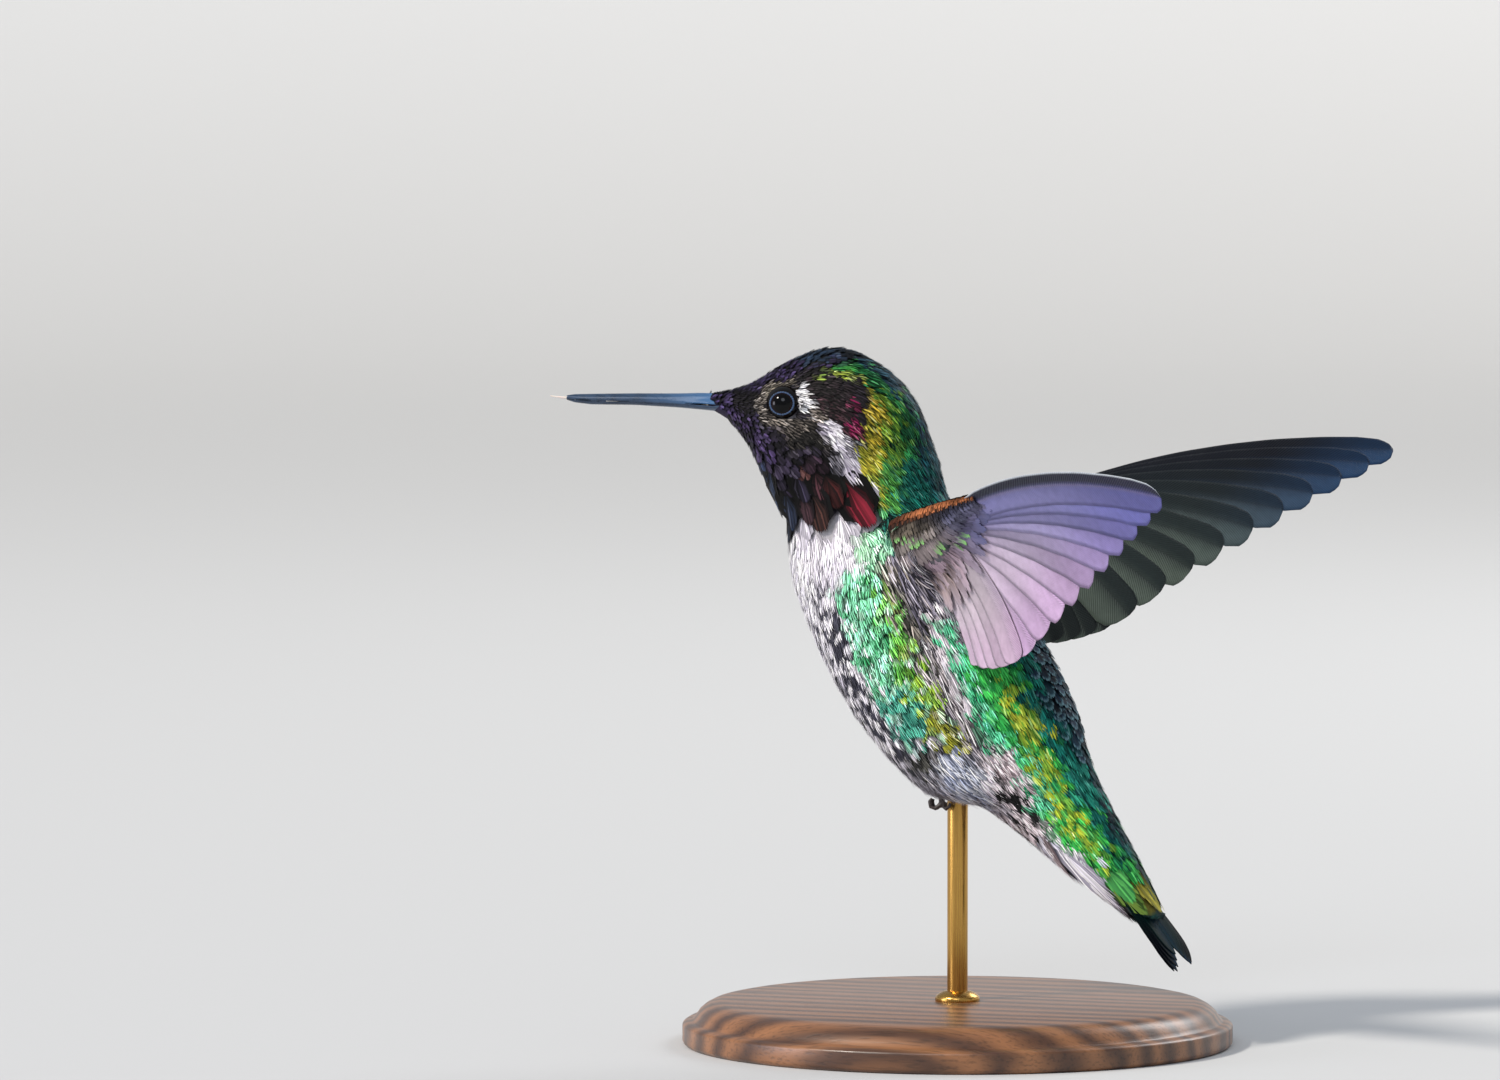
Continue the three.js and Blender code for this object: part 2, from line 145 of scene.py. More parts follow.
# points in mm, faces an array of triangles or quads, all of one kind
def meshPiece(name, points, faces, colours, maps):
    mesh = bpy.data.meshes.new(name)
    faces = np.asarray(faces, dtype=np.int32)
    count, sides = faces.shape
    mesh.vertices.add(len(points))
    mesh.vertices.foreach_set("co", (np.asarray(points) * mm).astype(np.float32).ravel())
    mesh.loops.add(count * sides)
    mesh.loops.foreach_set("vertex_index", faces.ravel())
    mesh.polygons.add(count)
    mesh.polygons.foreach_set("loop_start", np.arange(0, count * sides, sides, dtype=np.int32))
    mesh.polygons.foreach_set("use_smooth", np.ones(count, bool))
    mesh.update(calc_edges=True)
    dyePoints(mesh, colours)
    for mapName, uv in maps.items():
        layer = mesh.uv_layers.new(name=mapName)
        layer.data.foreach_set("uv", np.asarray(uv, np.float32)[faces.ravel()].ravel())
    piece = bpy.data.objects.new(name, mesh)
    bpy.context.scene.collection.objects.link(piece)
    return piece


# quads between rings of points numbered ring by ring
def loftFaces(rings, sides, closed=True):
    ring = np.arange(rings - 1)[:, None] * sides
    side = np.arange(sides if closed else sides - 1)[None]
    after = (side + 1) % sides
    quads = np.stack([ring + side, ring + after, ring + after + sides, ring + side + sides], -1)
    return quads.reshape(-1, 4)


# the bird's own frame
# Everything on the head is laid out on a straight bird and then turned with its neck.
neck = {"x": -9.4, "low": 56, "high": 65, "turn": math.radians(18)}
view = {"azimuth": math.radians(18), "elevation": math.radians(3), "lens": 200, "sensor": 36,
        "width": 174, "aimAcross": -24.13, "aimHeight": 58.65}


def neckTurn(z):
    return neck["turn"] * ease(neck["low"], neck["high"], z)


def swing(vectors, angle):
    c, s = np.cos(angle), np.sin(angle)
    x, y, z = vectors[..., 0], vectors[..., 1], vectors[..., 2]
    return np.stack([x * c - y * s, x * s + y * c, z], -1)


def turned(points):
    pivot = np.array([neck["x"], 0, 0])
    return swing(points - pivot, neckTurn(points[..., 2])) + pivot


def straight(points):
    pivot = np.array([neck["x"], 0, 0])
    return swing(points - pivot, -neckTurn(points[..., 2])) + pivot


# a straight bird's points as a watcher on its own side sees them: across and up, in mm
def sideOn(points):
    q = points - np.array([neck["x"], 0, 0])
    gaze = view["azimuth"] - neckTurn(points[..., 2])
    near = np.abs(q[..., 1])
    across = neck["x"] * math.cos(view["azimuth"]) + q[..., 0] * np.cos(gaze) - near * np.sin(gaze)
    toward = near * np.cos(gaze) + q[..., 0] * np.sin(gaze) + neck["x"] * math.sin(view["azimuth"])
    return across, q[..., 2] - toward * math.sin(view["elevation"])


# distance from a line of places to each point
def farFrom(path, across, up):
    path = np.asarray(path, float)
    if len(path) == 1:
        return np.hypot(across - path[0, 0], up - path[0, 1])
    best = np.full(across.shape, 1e9)
    for a, b in zip(path[:-1], path[1:]):
        run = b - a
        t = np.clip(((across - a[0]) * run[0] + (up - a[1]) * run[1]) / (run @ run), 0, 1)
        best = np.minimum(best, np.hypot(across - a[0] - t * run[0], up - a[1] - t * run[1]))
    return best


# soft noise between -1 and 1 from a few crossed waves
def blotches(points, size, seed):
    waves = np.random.default_rng(seed)
    total = np.zeros(points.shape[:-1])
    for step in range(7):
        way = unit(waves.normal(size=3)) * 2 * math.pi / size * waves.uniform(0.6, 1.7)
        total += np.sin(points @ way + waves.uniform(0, 6.28)) * waves.uniform(0.5, 1)
    return np.tanh(total / 2.2)


# markings
# Each is a path in mm as sideOn gives it, a radius, how softly it ends, its two colours, its gloss
# (0 matt down, 1 metallic) and the kind of feather it bears. The first colour is the lighter one of the
# barbs; on glossy marks it is partly the feathers' own colour and partly a painted glint.
markings = {
    "underparts": ([(-10.2, 45.9)], 60.3, 1.2, "a8a4ae", "605e68", 0, "loose"),
    "breast": ([(-18.9, 58.6), (-14.3, 58.0), (-10.0, 58.1)], 3.0, 1.6, "fbf7fd", "d4cfdc", 0, "soft"),
    "breastMint": ([(-10.7, 57.7), (-8.8, 58.1)], 0.8, 1.0, "c8ecd0", "8cc09c", 0.2, "soft"),
    "breastGrey": ([(-17.6, 52.2), (-15.3, 51.0), (-13.0, 52.6)], 0.9, 1.0, "e4e0ea", "6a6874", 0, "spot"),
    "ventral": ([(-20.1, 56.3), (-18.3, 48.8), (-15.3, 42.4), (-11.6, 36.6), (-7.0, 31.4),
        (-2.7, 27.8)], 2.1, 0.6, "ffffff", "cdc9d8", 0, "soft"),
    "belly": ([(-14.2, 49.1), (-12.8, 45.9), (-11.7, 42.6), (-9.3, 38.0),
        (-5.8, 34.1)], 1.9, 0.8, "eeebf4", "3c3c48", 0, "spot"),
    "bellyLow": ([(-6.1, 32.5), (-3.8, 30.6)], 1.2, 0.9, "d8d5e0", "3a3c44", 0, "spot"),
    "sideTop": ([(-8.4, 58.1), (-9.3, 55.6)], 1.2, 1.2, "c0f4d0", "58b080", 0.3, "tuft"),
    "side": ([(-11.4, 52.8), (-10.4, 49.4), (-9.0, 45.3),
        (-6.3, 40.4)], 2.1, 0.9, "a8ffd4", "3aa466", 0.4, "tuft"),
    "sideMid": ([(-8.6, 53.1), (-7.5, 49.4), (-6.1, 45.9),
        (-4.6, 42.4)], 1.3, 0.9, "92ec66", "3c9434", 0.4, "tuft"),
    "sideLow": ([(-4.2, 45.3), (-2.8, 41.2), (-1.2, 37.5)], 1.9, 1.0, "acd044", "4c8c30", 0.4, "tuft"),
    "sideTeal": ([(-7.5, 39.5), (-5.6, 36.4)], 1.0, 0.9, "74e8c8", "2a7c6a", 0.4, "tuft"),
    "sideOlive": ([(-1.9, 38.2), (-0.8, 35.1)], 1.0, 0.9, "b4b43c", "4e5a24", 0.4, "tuft"),
    "sideBrown": ([(-8.6, 54.9), (-7.9, 51.9)], 0.5, 0.6, "a09868", "4a4428", 0.2, "strand"),
    "ventDark": ([(-4.4, 33.1), (-1.6, 30.6)], 0.9, 0.9, "5a5a54", "202124", 0, "loose"),
    "ventGrey": ([(-3.5, 30.2), (-1.2, 29.4)], 1.3, 0.9, "dcdae6", "77757f", 0, "down"),
    "backTeal": ([(3.7, 51.7), (6.6, 44.7), (9.0, 40.1), (11.6, 34.3), (13.9, 29.6), (16.5, 25.0),
        (19.5, 20.8), (22.0, 16.3)], 2.2, 0.9, "1a8676", "083c40", 0.45, "sleek"),
    "mantle": ([(1.4, 64.4), (5.5, 55.2)], 5.1, 0.9, "16504e", "08242a", 0.4, "fringe"),
    "back": ([(3.7, 63.3), (8.4, 54.0), (11.0, 47.0), (13.6, 41.2),
        (15.3, 36.6)], 3.1, 0.7, "103048", "04121e", 0.35, "fringe"),
    "backLow": ([(16.2, 36.0), (18.1, 30.8), (20.9, 25.0), (23.7, 19.8),
        (26.0, 15.1)], 2.3, 0.9, "0f3a46", "04141e", 0.4, "sleek"),
    "rumpGreen": ([(3.0, 45.9), (4.9, 40.1), (7.9, 34.9), (10.4, 30.2), (13.3, 25.2), (16.2, 21.3),
        (18.8, 18.7)], 2.0, 0.7, "4cd05c", "167a3a", 0.45, "sleek"),
    "rumpTeal": ([(12.5, 32.9), (14.6, 28.8)], 0.9, 0.8, "2c9c86", "125450", 0.45, "sleek"),
    "backGold": ([(5.1, 41.9), (6.5, 38.7), (8.4, 35.2), (10.0, 31.0), (11.6, 27.8), (13.5, 25.2),
        (16.2, 22.2)], 0.3, 0.9, "c4c838", "5c9c30", 0.45, "sleek"),
    "backGoldWide": ([(7.0, 39.6), (8.4, 36.6)], 0.7, 0.8, "c8c43c", "4c8c30", 0.45, "sleek"),
    "tailEdge": ([(20.4, 22.7), (23.4, 18.0), (25.3, 14.6)], 1.3, 0.3, "144a40", "06201f", 0.45, "covert"),
    "tailGold": ([(19.7, 18.3), (21.6, 16.4)], 0.7, 0.5, "b8ac40", "6c7428", 0.45, "covert"),
    "flank": ([(-6.7, 56.1), (-5.0, 52.6), (-3.6, 48.6), (-2.0, 43.9), (0.0, 39.6),
        (2.3, 35.7)], 1.3, 0.9, "e4dadc", "6c6872", 0, "strand"),
    "axilla": ([(-8.8, 56.1), (-6.7, 51.7), (-5.0, 47.0)], 0.6, 0.7, "b4aaa0", "3c4238", 0, "strand"),
    "flankDark": ([(-6.4, 55.9), (-5.3, 53.1), (-4.6, 50.5)], 0.8, 0.7, "9a94a4", "4c4a58", 0, "strand"),
    "flankPale": ([(-3.0, 50.3), (-1.6, 45.9), (-0.2, 42.4),
        (0.9, 39.6)], 0.6, 0.5, "f6eef4", "b4acb8", 0, "soft"),
    "mint": ([(-1.9, 48.7), (-0.6, 45.9), (0.6, 42.2), (1.7, 39.4), (3.2, 36.8), (5.6, 34.5),
        (7.7, 32.0), (9.5, 28.5)], 0.6, 0.7, "7cf0bc", "24a068", 0.4, "loose"),
    "ventPale": ([(3.9, 32.2), (5.8, 28.5), (8.4, 24.8)], 1.6, 0.7, "e8dce2", "1e1f20", 0, "spot"),
    "ventTuft": ([(-0.7, 32.0), (1.2, 29.4)], 1.7, 0.9, "f4f7ff", "a0accc", 0, "down"),
    "ventWhite": ([(4.5, 33.4), (6.3, 31.3)], 0.9, 0.6, "fcf0f4", "cdb8c0", 0, "down"),
    "ventLine": ([(2.6, 32.4), (3.7, 29.4), (5.3, 26.9)], 0.4, 0.3, "f8f4fc", "c8c0cc", 0, "soft"),
    "undertail": ([(10.4, 23.6), (13.0, 21.3), (15.9, 18.7),
        (17.4, 17.5)], 1.2, 0.5, "ffffff", "c0bed4", 0, "soft"),
    "nape": ([(-9.0, 74.9), (-6.1, 69.1), (-5.3, 63.3)], 3.9, 1.4, "267c62", "0c3a32", 0.45, "loose"),
    "hindCrown": ([(-12.3, 81.3), (-7.7, 79.3), (-3.9, 74.7),
        (-2.1, 67.9)], 2.7, 1.2, "225468", "0a1a26", 0.4, "loose"),
    "napeBack": ([(-2.6, 68.5), (-1.6, 64.4), (-1.2, 61.0)], 1.5, 1.2, "1c5c68", "0a252e", 0.4, "loose"),
    "crownGreen": ([(-14.2, 77.7), (-12.3, 78.3), (-9.7, 76.3), (-7.7, 74.4), (-6.1, 71.6),
        (-5.8, 69.3)], 0.8, 0.7, "389c56", "12442a", 0.45, "loose"),
    "yellowGreen": ([(-9.0, 74.3), (-8.1, 71.2), (-8.6, 68.2),
        (-9.5, 66.8)], 1.0, 0.9, "90bc3c", "2f6a2c", 0.45, "loose"),
    "gold": ([(-12.5, 76.5), (-11.3, 74.9), (-10.2, 72.8),
        (-10.4, 70.2)], 1.2, 0.7, "ccb036", "66701f", 0.45, "loose"),
    "face": ([(-25.9, 74.7), (-20.6, 76.6), (-16.6, 76.6), (-13.9, 75.1), (-16.0, 71.4),
        (-18.9, 67.9)], 3.0, 0.6, "2c2630", "060507", 0, "fine"),
    "greenBrow": ([(-13.9, 78.4), (-12.3, 78.6)], 0.5, 0.5, "58c45c", "2a7a40", 0.45, "fine"),
    "goldBrow": ([(-16.2, 77.1), (-14.6, 77.6), (-12.5, 77.7)], 0.3, 0.3, "a4b444", "4c6828", 0.35, "fine"),
    "neckGold": ([(-10.7, 68.5), (-10.0, 66.2), (-9.0, 63.5)], 1.0, 0.7, "dccc44", "7a8a28", 0.45, "loose"),
    "neckGreen": ([(-8.1, 65.8), (-7.1, 63.3), (-6.7, 61.0)], 1.2, 0.9, "66b84a", "2a7a48", 0.45, "loose"),
    "neckTeal": ([(-5.0, 65.6), (-5.0, 62.4), (-6.7, 59.8)], 1.3, 1.2, "24907e", "0c4240", 0.45, "loose"),
    "gorget": ([(-25.3, 73.1), (-23.4, 69.3), (-21.6, 64.9), (-19.5, 62.4),
        (-14.8, 63.3)], 1.6, 0.5, "383250", "06050a", 0.35, "scale"),
    "gorgetWide": ([(-20.6, 69.7), (-18.3, 66.8),
        (-16.6, 64.4)], 2.6, 0.5, "383044", "060509", 0.3, "scale"),
    "gorgetCorner": ([(-16.6, 66.8), (-14.6, 65.0),
        (-13.1, 64.0)], 1.5, 0.5, "402c3a", "0e090d", 0.3, "scale"),
    "chin": ([(-26.7, 74.3), (-25.1, 72.0), (-23.0, 68.9)], 1.4, 0.7, "50406a", "08060f", 0.4, "scale"),
    "gorgetBlue": ([(-23.0, 66.5), (-21.6, 63.6),
        (-20.0, 60.7)], 1.0, 0.8, "2c4a76", "070a12", 0.4, "scale"),
    "gorgetBrown": ([(-17.6, 65.4), (-16.5, 63.3)], 0.8, 0.7, "5c3a38", "120a0c", 0.35, "scale"),
    "crown": ([(-29.3, 75.4), (-25.9, 76.5), (-22.4, 78.3), (-19.5, 79.8), (-16.6, 80.9),
        (-13.9, 81.6)], 2.2, 0.6, "40345e", "06040b", 0.4, "scale"),
    "crownBack": ([(-17.6, 80.0), (-15.1, 80.7),
        (-12.8, 80.9)], 1.0, 0.7, "2c4058", "080c14", 0.4, "scale"),
    "lores": ([(-25.1, 74.7), (-22.5, 74.4)], 0.9, 0.6, "120e18", "020204", 0.1, "fine"),
    "cheek": ([(-18.3, 70.7), (-16.0, 70.7)], 1.3, 0.7, "3e3a36", "0a090a", 0, "fine"),
    "underEye": ([(-21.8, 72.7), (-20.0, 71.9), (-17.9, 72.0)], 0.6, 0.5, "8e857c", "302b28", 0, "fine"),
    "eyeFront": ([(-22.5, 75.4), (-22.9, 74.0), (-22.2, 72.7)], 0.5, 0.3, "968e86", "342e2a", 0, "fine"),
    "brow": ([(-22.4, 75.7), (-21.1, 76.5), (-19.1, 76.7)], 0.3, 0.3, "968e80", "3a342f", 0, "fine"),
    "ear": ([(-16.9, 76.0), (-14.8, 76.3), (-13.3, 75.4)], 0.9, 0.5, "32282e", "060406", 0.15, "fine"),
    "earLow": ([(-15.8, 74.5), (-13.9, 73.7), (-13.0, 72.1)], 0.7, 0.5, "4a3038", "0e080c", 0.15, "fine"),
    "ruby": ([(-12.6, 74.7), (-12.2, 73.5)], 0.3, 0.2, "8c1e50", "300820", 0.45, "fine"),
    "rubyLow": ([(-12.5, 72.6), (-11.7, 71.2)], 0.4, 0.2, "8c1e50", "300820", 0.45, "fine"),
    "eyeSpot": ([(-18.3, 75.9), (-17.7, 74.5), (-16.9, 73.5)], 0.6, 0.3, "ffffff", "e4e4ec", 0, "soft"),
    "streakTan": ([(-16.9, 73.4), (-15.5, 72.5)], 0.5, 0.3, "b4a8a0", "5c544e", 0, "fine"),
    "streakTop": ([(-15.1, 71.6), (-13.6, 69.4)], 0.9, 0.5, "fbf8ff", "9c94a8", 0, "soft"),
    "streak": ([(-13.7, 69.6), (-12.3, 67.2), (-11.5, 65.1),
        (-10.9, 63.5)], 0.6, 0.3, "f8f5fc", "aca4b8", 0, "soft"),
}
featherKinds = ["loose", "scale", "down", "fine", "spot", "fringe", "strand", "soft", "tuft", "covert", "sleek"]


# colour, gloss and feather kind for points of the straight bird; drift tips each towards one colour
def paint(points, drift=0.0):
    across, up = sideOn(points)
    across = across + 0.3 * blotches(points, 3.1, 5)
    up = up + 0.3 * blotches(points, 3.1, 6)
    broad = np.clip(0.5 + 0.42 * blotches(points, 3.4, 8) + drift, 0, 1)
    patchy = ease(-0.12, 0.15, blotches(points * [1, 1, 0.8], 2.7, 9) + 0.2 * drift)
    colour = np.zeros(across.shape + (3,))
    gloss = np.zeros(across.shape)
    kind = np.zeros(across.shape, int)
    for path, radius, soft, first, second, shine, bears in markings.values():
        share = 1 - ease(radius, radius + soft, farFrom(path, across, up))
        blend = patchy if bears == "spot" else broad
        dye = mix(hue(first), hue(second), blend[..., None])
        colour = mix(colour, dye, share[..., None])
        gloss = mix(gloss, shine, share)
        kind = np.where(share > 0.5, featherKinds.index(bears), kind)
    return colour, gloss, kind


# the lie of the coat
# place x, z of the straight bird; the way the feathers point; length, width and spacing in mm
combing = [
    (-29.5, 76.0, 1.0, 0.35, 0.9, 0.45, 0.24),
    (-25.0, 77.3, 0.9, 0.45, 1.2, 0.60, 0.30),
    (-19.0, 80.5, 1.0, 0.20, 1.7, 0.95, 0.46),
    (-12.5, 80.8, 0.9, -0.45, 2.2, 1.00, 0.44),
    (-7.5, 77.0, 0.55, -0.85, 2.7, 1.10, 0.44),
    (-4.0, 71.0, 0.40, -0.92, 3.0, 1.20, 0.46),
    (-2.0, 64.0, 0.45, -0.90, 3.2, 1.40, 0.50),
    (-26.5, 72.8, 0.75, -0.65, 1.1, 0.55, 0.28),
    (-24.5, 74.8, 1.0, 0.00, 0.9, 0.42, 0.26),
    (-20.5, 77.6, 1.0, 0.10, 1.0, 0.50, 0.28),
    (-20.5, 71.2, 0.85, -0.50, 1.4, 0.60, 0.32),
    (-17.0, 73.5, 0.88, -0.45, 1.7, 0.60, 0.32),
    (-13.5, 73.0, 0.72, -0.68, 2.1, 0.80, 0.36),
    (-9.5, 68.0, 0.60, -0.80, 2.8, 1.10, 0.44),
    (-22.5, 66.0, 0.42, -0.90, 2.0, 1.50, 0.75),
    (-18.0, 67.0, 0.50, -0.87, 2.6, 1.80, 0.90),
    (-16.0, 63.0, 0.30, -0.95, 3.6, 2.40, 1.20),
    (-12.0, 65.5, 0.68, -0.73, 3.2, 1.20, 0.50),
    (-20.0, 56.0, 0.12, -0.99, 3.0, 1.10, 0.46),
    (-12.0, 56.0, 0.20, -0.98, 3.0, 1.10, 0.46),
    (-5.0, 58.0, 0.55, -0.84, 2.8, 1.20, 0.48),
    (-17.0, 48.0, 0.42, -0.90, 2.8, 1.40, 0.52),
    (-8.0, 48.0, 0.45, -0.89, 2.8, 1.30, 0.50),
    (0.0, 46.0, 0.50, -0.87, 3.4, 1.30, 0.50),
    (-10.0, 37.0, 0.60, -0.80, 3.0, 1.40, 0.54),
    (-1.0, 38.0, 0.62, -0.78, 3.2, 1.40, 0.54),
    (5.0, 57.0, 0.42, -0.90, 2.3, 1.50, 0.72),
    (10.0, 48.0, 0.40, -0.92, 2.4, 1.60, 0.76),
    (14.0, 38.0, 0.45, -0.89, 2.8, 1.60, 0.74),
    (0.0, 30.0, 0.75, -0.66, 3.2, 1.30, 0.52),
    (8.0, 34.0, 0.62, -0.78, 2.6, 1.10, 0.48),
    (8.0, 26.0, 0.76, -0.65, 3.2, 1.30, 0.54),
    (16.0, 19.5, 0.72, -0.70, 3.8, 1.50, 0.60),
    (20.0, 26.0, 0.52, -0.85, 3.0, 1.40, 0.58),
    (15.0, 27.0, 0.60, -0.80, 2.8, 1.15, 0.50),
    (23.0, 19.0, 0.55, -0.84, 3.4, 1.60, 0.65),
]


# direction, length, width and spacing at points of the straight bird
def combed(points):
    table = np.array(combing)
    gap = np.hypot(points[:, None, 0] - table[None, :, 0], points[:, None, 2] - table[None, :, 1])
    share = 1 / (gap + 0.6) ** 3.2
    share /= share.sum(1, keepdims=True)
    blend = share @ table[:, 2:]
    way = np.stack([blend[:, 0], np.zeros(len(points)), blend[:, 1]], -1)
    return unit(way), blend[:, 2], blend[:, 3], blend[:, 4]


# camera, floor and light
def placeCamera():
    az, el = view["azimuth"], view["elevation"]
    right = np.array([math.cos(az), math.sin(az), 0])
    ahead = np.array([-math.sin(az) * math.cos(el), math.cos(az) * math.cos(el), -math.sin(el)])
    aim = np.array([0, 0, view["aimHeight"]]) + right * view["aimAcross"]
    spot = aim - ahead * view["width"] * view["lens"] / view["sensor"]
    bpy.ops.object.camera_add(location=spot * mm)
    camera = bpy.context.object
    camera.name = "studioView"
    camera.rotation_euler = Vector(ahead).to_track_quat("-Z", "Y").to_euler()
    camera.data.lens = view["lens"]
    camera.data.sensor_width = view["sensor"]
    camera.data.clip_start = 0.05
    bpy.context.scene.camera = camera


placeCamera()
print("camera placed")


# materials
# adds one node: its settings by socket name, and its links as (socket, from node, from socket)
def addNode(tree, kind, settings=None, links=(), **properties):
    node = tree.nodes.new("ShaderNode" + kind)
    for name, value in properties.items():
        setattr(node, name, value)
    for socket, value in (settings or {}).items():
        node.inputs[socket].default_value = value
    for socket, source, outlet in links:
        tree.links.new(source.outputs[outlet], node.inputs[socket])
    return node


def newMaterial(name):
    material = bpy.data.materials.new(name)
    material.use_nodes = True
    tree = material.node_tree
    tree.nodes.clear()
    return material, tree


def finishMaterial(tree, settings, links):
    shader = addNode(tree, "BsdfPrincipled", settings, links)
    addNode(tree, "OutputMaterial", None, [("Surface", shader, "BSDF")])
    return shader


# Contour feather keratin: matt where it is down, a soft metallic gleam where the barbules are
# layered. The gleam's strength travels in the colour's alpha.
def plumageMaterial():
    material, tree = newMaterial("contour_feather")
    dye = addNode(tree, "Attribute", attribute_name="plumage")
    rough = addNode(tree, "MapRange", {"To Min": 0.74, "To Max": 0.30}, [("Value", dye, "Alpha")])
    metal = addNode(tree, "MapRange", {"To Min": 0.0, "To Max": 0.95}, [("Value", dye, "Alpha")])
    finishMaterial(tree, {"IOR": 1.54, "Specular IOR Level": 0.16, "Sheen Weight": 0.02,
                          "Sheen Roughness": 0.4},
                   [("Base Color", dye, "Color"), ("Roughness", rough, "Result"),
                    ("Metallic", metal, "Result")])
    return material


# Skin: thin and matt, tinted by the down that grows from it.
def skinMaterial():
    material, tree = newMaterial("downy_skin")
    dye = addNode(tree, "Attribute", attribute_name="plumage")
    place = addNode(tree, "TexCoord")
    pores = addNode(tree, "TexNoise", {"Scale": 2200.0, "Detail": 3.0}, [("Vector", place, "Object")])
    shade = addNode(tree, "MapRange", {"To Min": 0.45, "To Max": 0.95}, [("Value", pores, "Fac")])
    dark = addNode(tree, "VectorMath", None, [(0, dye, "Color"), (1, shade, "Result")],
                   operation="MULTIPLY")
    bump = addNode(tree, "Bump", {"Strength": 0.5, "Distance": 0.0002}, [("Height", pores, "Fac")])
    finishMaterial(tree, {"Roughness": 0.85, "IOR": 1.45},
                   [("Base Color", dark, "Vector"), ("Normal", bump, "Normal")])
    return material


plumage = plumageMaterial()
skinLook = skinMaterial()


# skin
skinPlan = {"flesh": ["head", "neck", "trunk", "tail_coverts", "wing_arm_left", "wing_arm_right"],
            "swell": 0.2, "voxel": 0.4, "smoothing": 14, "bodyDepth": 0.5, "faceDepth": 0.3, "armDepth": 0.3}
eyes = {"x": -20.6, "z": 74.4, "y": 3.4, "radius": 2.2}
rod = {"radius": 1.2, "top": 33.5}
shoulder = np.array([-4.5, 8.0, 59.0])
sides = {"left": {"side": -1, "sweep": 43.5, "raise": 7.0, "pitch": 21.0},
         "right": {"side": 1, "sweep": 35.5, "raise": 8.8, "pitch": 33.0}}


def wingFrame(name):
    w = sides[name]
    sweep, lift, pitch = (math.radians(w[k]) for k in ("sweep", "raise", "pitch"))
    span = np.array([math.cos(lift) * math.cos(sweep), w["side"] * math.cos(lift) * math.sin(sweep),
                     math.sin(lift)])
    inward = np.array([math.sin(sweep), -w["side"] * math.cos(sweep), 0])
    down = unit(np.array([0, 0, -1.0]) + span * span[2])
    chord = down * math.cos(pitch) + inward * math.sin(pitch)
    upper = np.cross(span, chord) * -w["side"]
    return shoulder * [1, w["side"], 1], np.stack([span, chord, upper])


wingFrames = {name: wingFrame(name) for name in sides}


def wingPlace(name, s, t, n):
    origin, axes = wingFrames[name]
    return origin + np.stack(np.broadcast_arrays(s, t, n), -1) @ axes


def wingParts(name, points):
    origin, axes = wingFrames[name]
    return (points - origin) @ axes.T


# 1 out on either wing's arm, 0 on the body
def armShare(points):
    share = np.zeros(points.shape[:-1])
    for name in sides:
        s, t, n = np.moveaxis(wingParts(name, points), -1, 0)
        beside = (1 - ease(3.0, 4.0, np.abs(n))) * (1 - ease(6.0, 7.5, np.abs(t - 1)))
        share = np.maximum(share, ease(1.5, 4.0, s) * beside)
    return share


def eyePlace(side):
    return turned(np.array([eyes["x"], side * eyes["y"], eyes["z"]]))


def makeSkin():
    shells = []
    for name in skinPlan["flesh"]:
        shell = mergedCopy("shell_" + name, name)
        applyModifier(shell, "DISPLACE", strength=skinPlan["swell"] * mm, mid_level=0)
        shells.append(shell)
    for side in (-1, 1):
        bpy.ops.mesh.primitive_uv_sphere_add(radius=(eyes["radius"] - 0.1) * mm, location=eyePlace(side) * mm)
        shells.append(bpy.context.object)
    bpy.ops.mesh.primitive_cylinder_add(radius=(rod["radius"] + 0.6) * mm, depth=4.0 * mm,
                                        location=(0, 0, (rod["top"] - 1.4) * mm))
    shells.append(bpy.context.object)
    selectOnly(*shells)
    bpy.ops.object.join()
    skin = bpy.context.object
    skin.name = "skin"
    skin.data.name = "skin"
    skin.data.remesh_voxel_size = skinPlan["voxel"] * mm
    selectOnly(skin)
    bpy.ops.object.transform_apply(location=True, rotation=True, scale=True)
    bpy.ops.object.voxel_remesh()
    applyModifier(skin, "SMOOTH", factor=0.5, iterations=skinPlan["smoothing"])
    return skin


def meshArrays(piece):
    mesh = piece.data
    mesh.calc_loop_triangles()
    points = np.empty(len(mesh.vertices) * 3)
    mesh.vertices.foreach_get("co", points)
    tris = np.empty(len(mesh.loop_triangles) * 3, np.int32)
    mesh.loop_triangles.foreach_get("vertices", tris)
    return points.reshape(-1, 3) / mm, tris.reshape(-1, 3)


def pointNormals(points, tris):
    corners = points[tris]
    faces = np.cross(corners[:, 1] - corners[:, 0], corners[:, 2] - corners[:, 0])
    normals = np.zeros_like(points)
    for corner in range(3):
        np.add.at(normals, tris[:, corner], faces)
    return unit(normals)


skin = makeSkin()
skinPoints, skinTris = meshArrays(skin)
skinNormals = pointNormals(skinPoints, skinTris)


# how deep the coat is over each place of the flesh
def coatDepth(points):
    q = straight(points)
    face = 1 - ease(-24, -10, q[:, 0])
    face = np.maximum(face * ease(60, 66, q[:, 2]), 1 - ease(-31, -28, q[:, 0]))
    depth = mix(skinPlan["bodyDepth"], skinPlan["faceDepth"], face)
    return mix(depth, skinPlan["armDepth"], armShare(points))


skinPoints = skinPoints - skinNormals * (coatDepth(skinPoints) + skinPlan["swell"])[:, None]
# the skin sinks behind each eyeball, so that the lids close over the edge of a socket
for side in (-1, 1):
    gap = skinPoints - eyePlace(side)
    reach = np.linalg.norm(gap, axis=1)
    axis = swing(np.array([-0.18, side * 0.95, 0.25]), neck["turn"])
    off = np.linalg.norm(gap - (gap @ axis)[:, None] * axis, axis=1)
    sunk = (1 - ease(1.3, 1.6, off)) * ((gap @ axis) > 0)
    skinPoints -= axis * (sunk * 1.2)[:, None]
skinNormals = pointNormals(skinPoints, skinTris)
skinTree = BVHTree.FromPolygons(skinPoints.tolist(), skinTris.tolist())


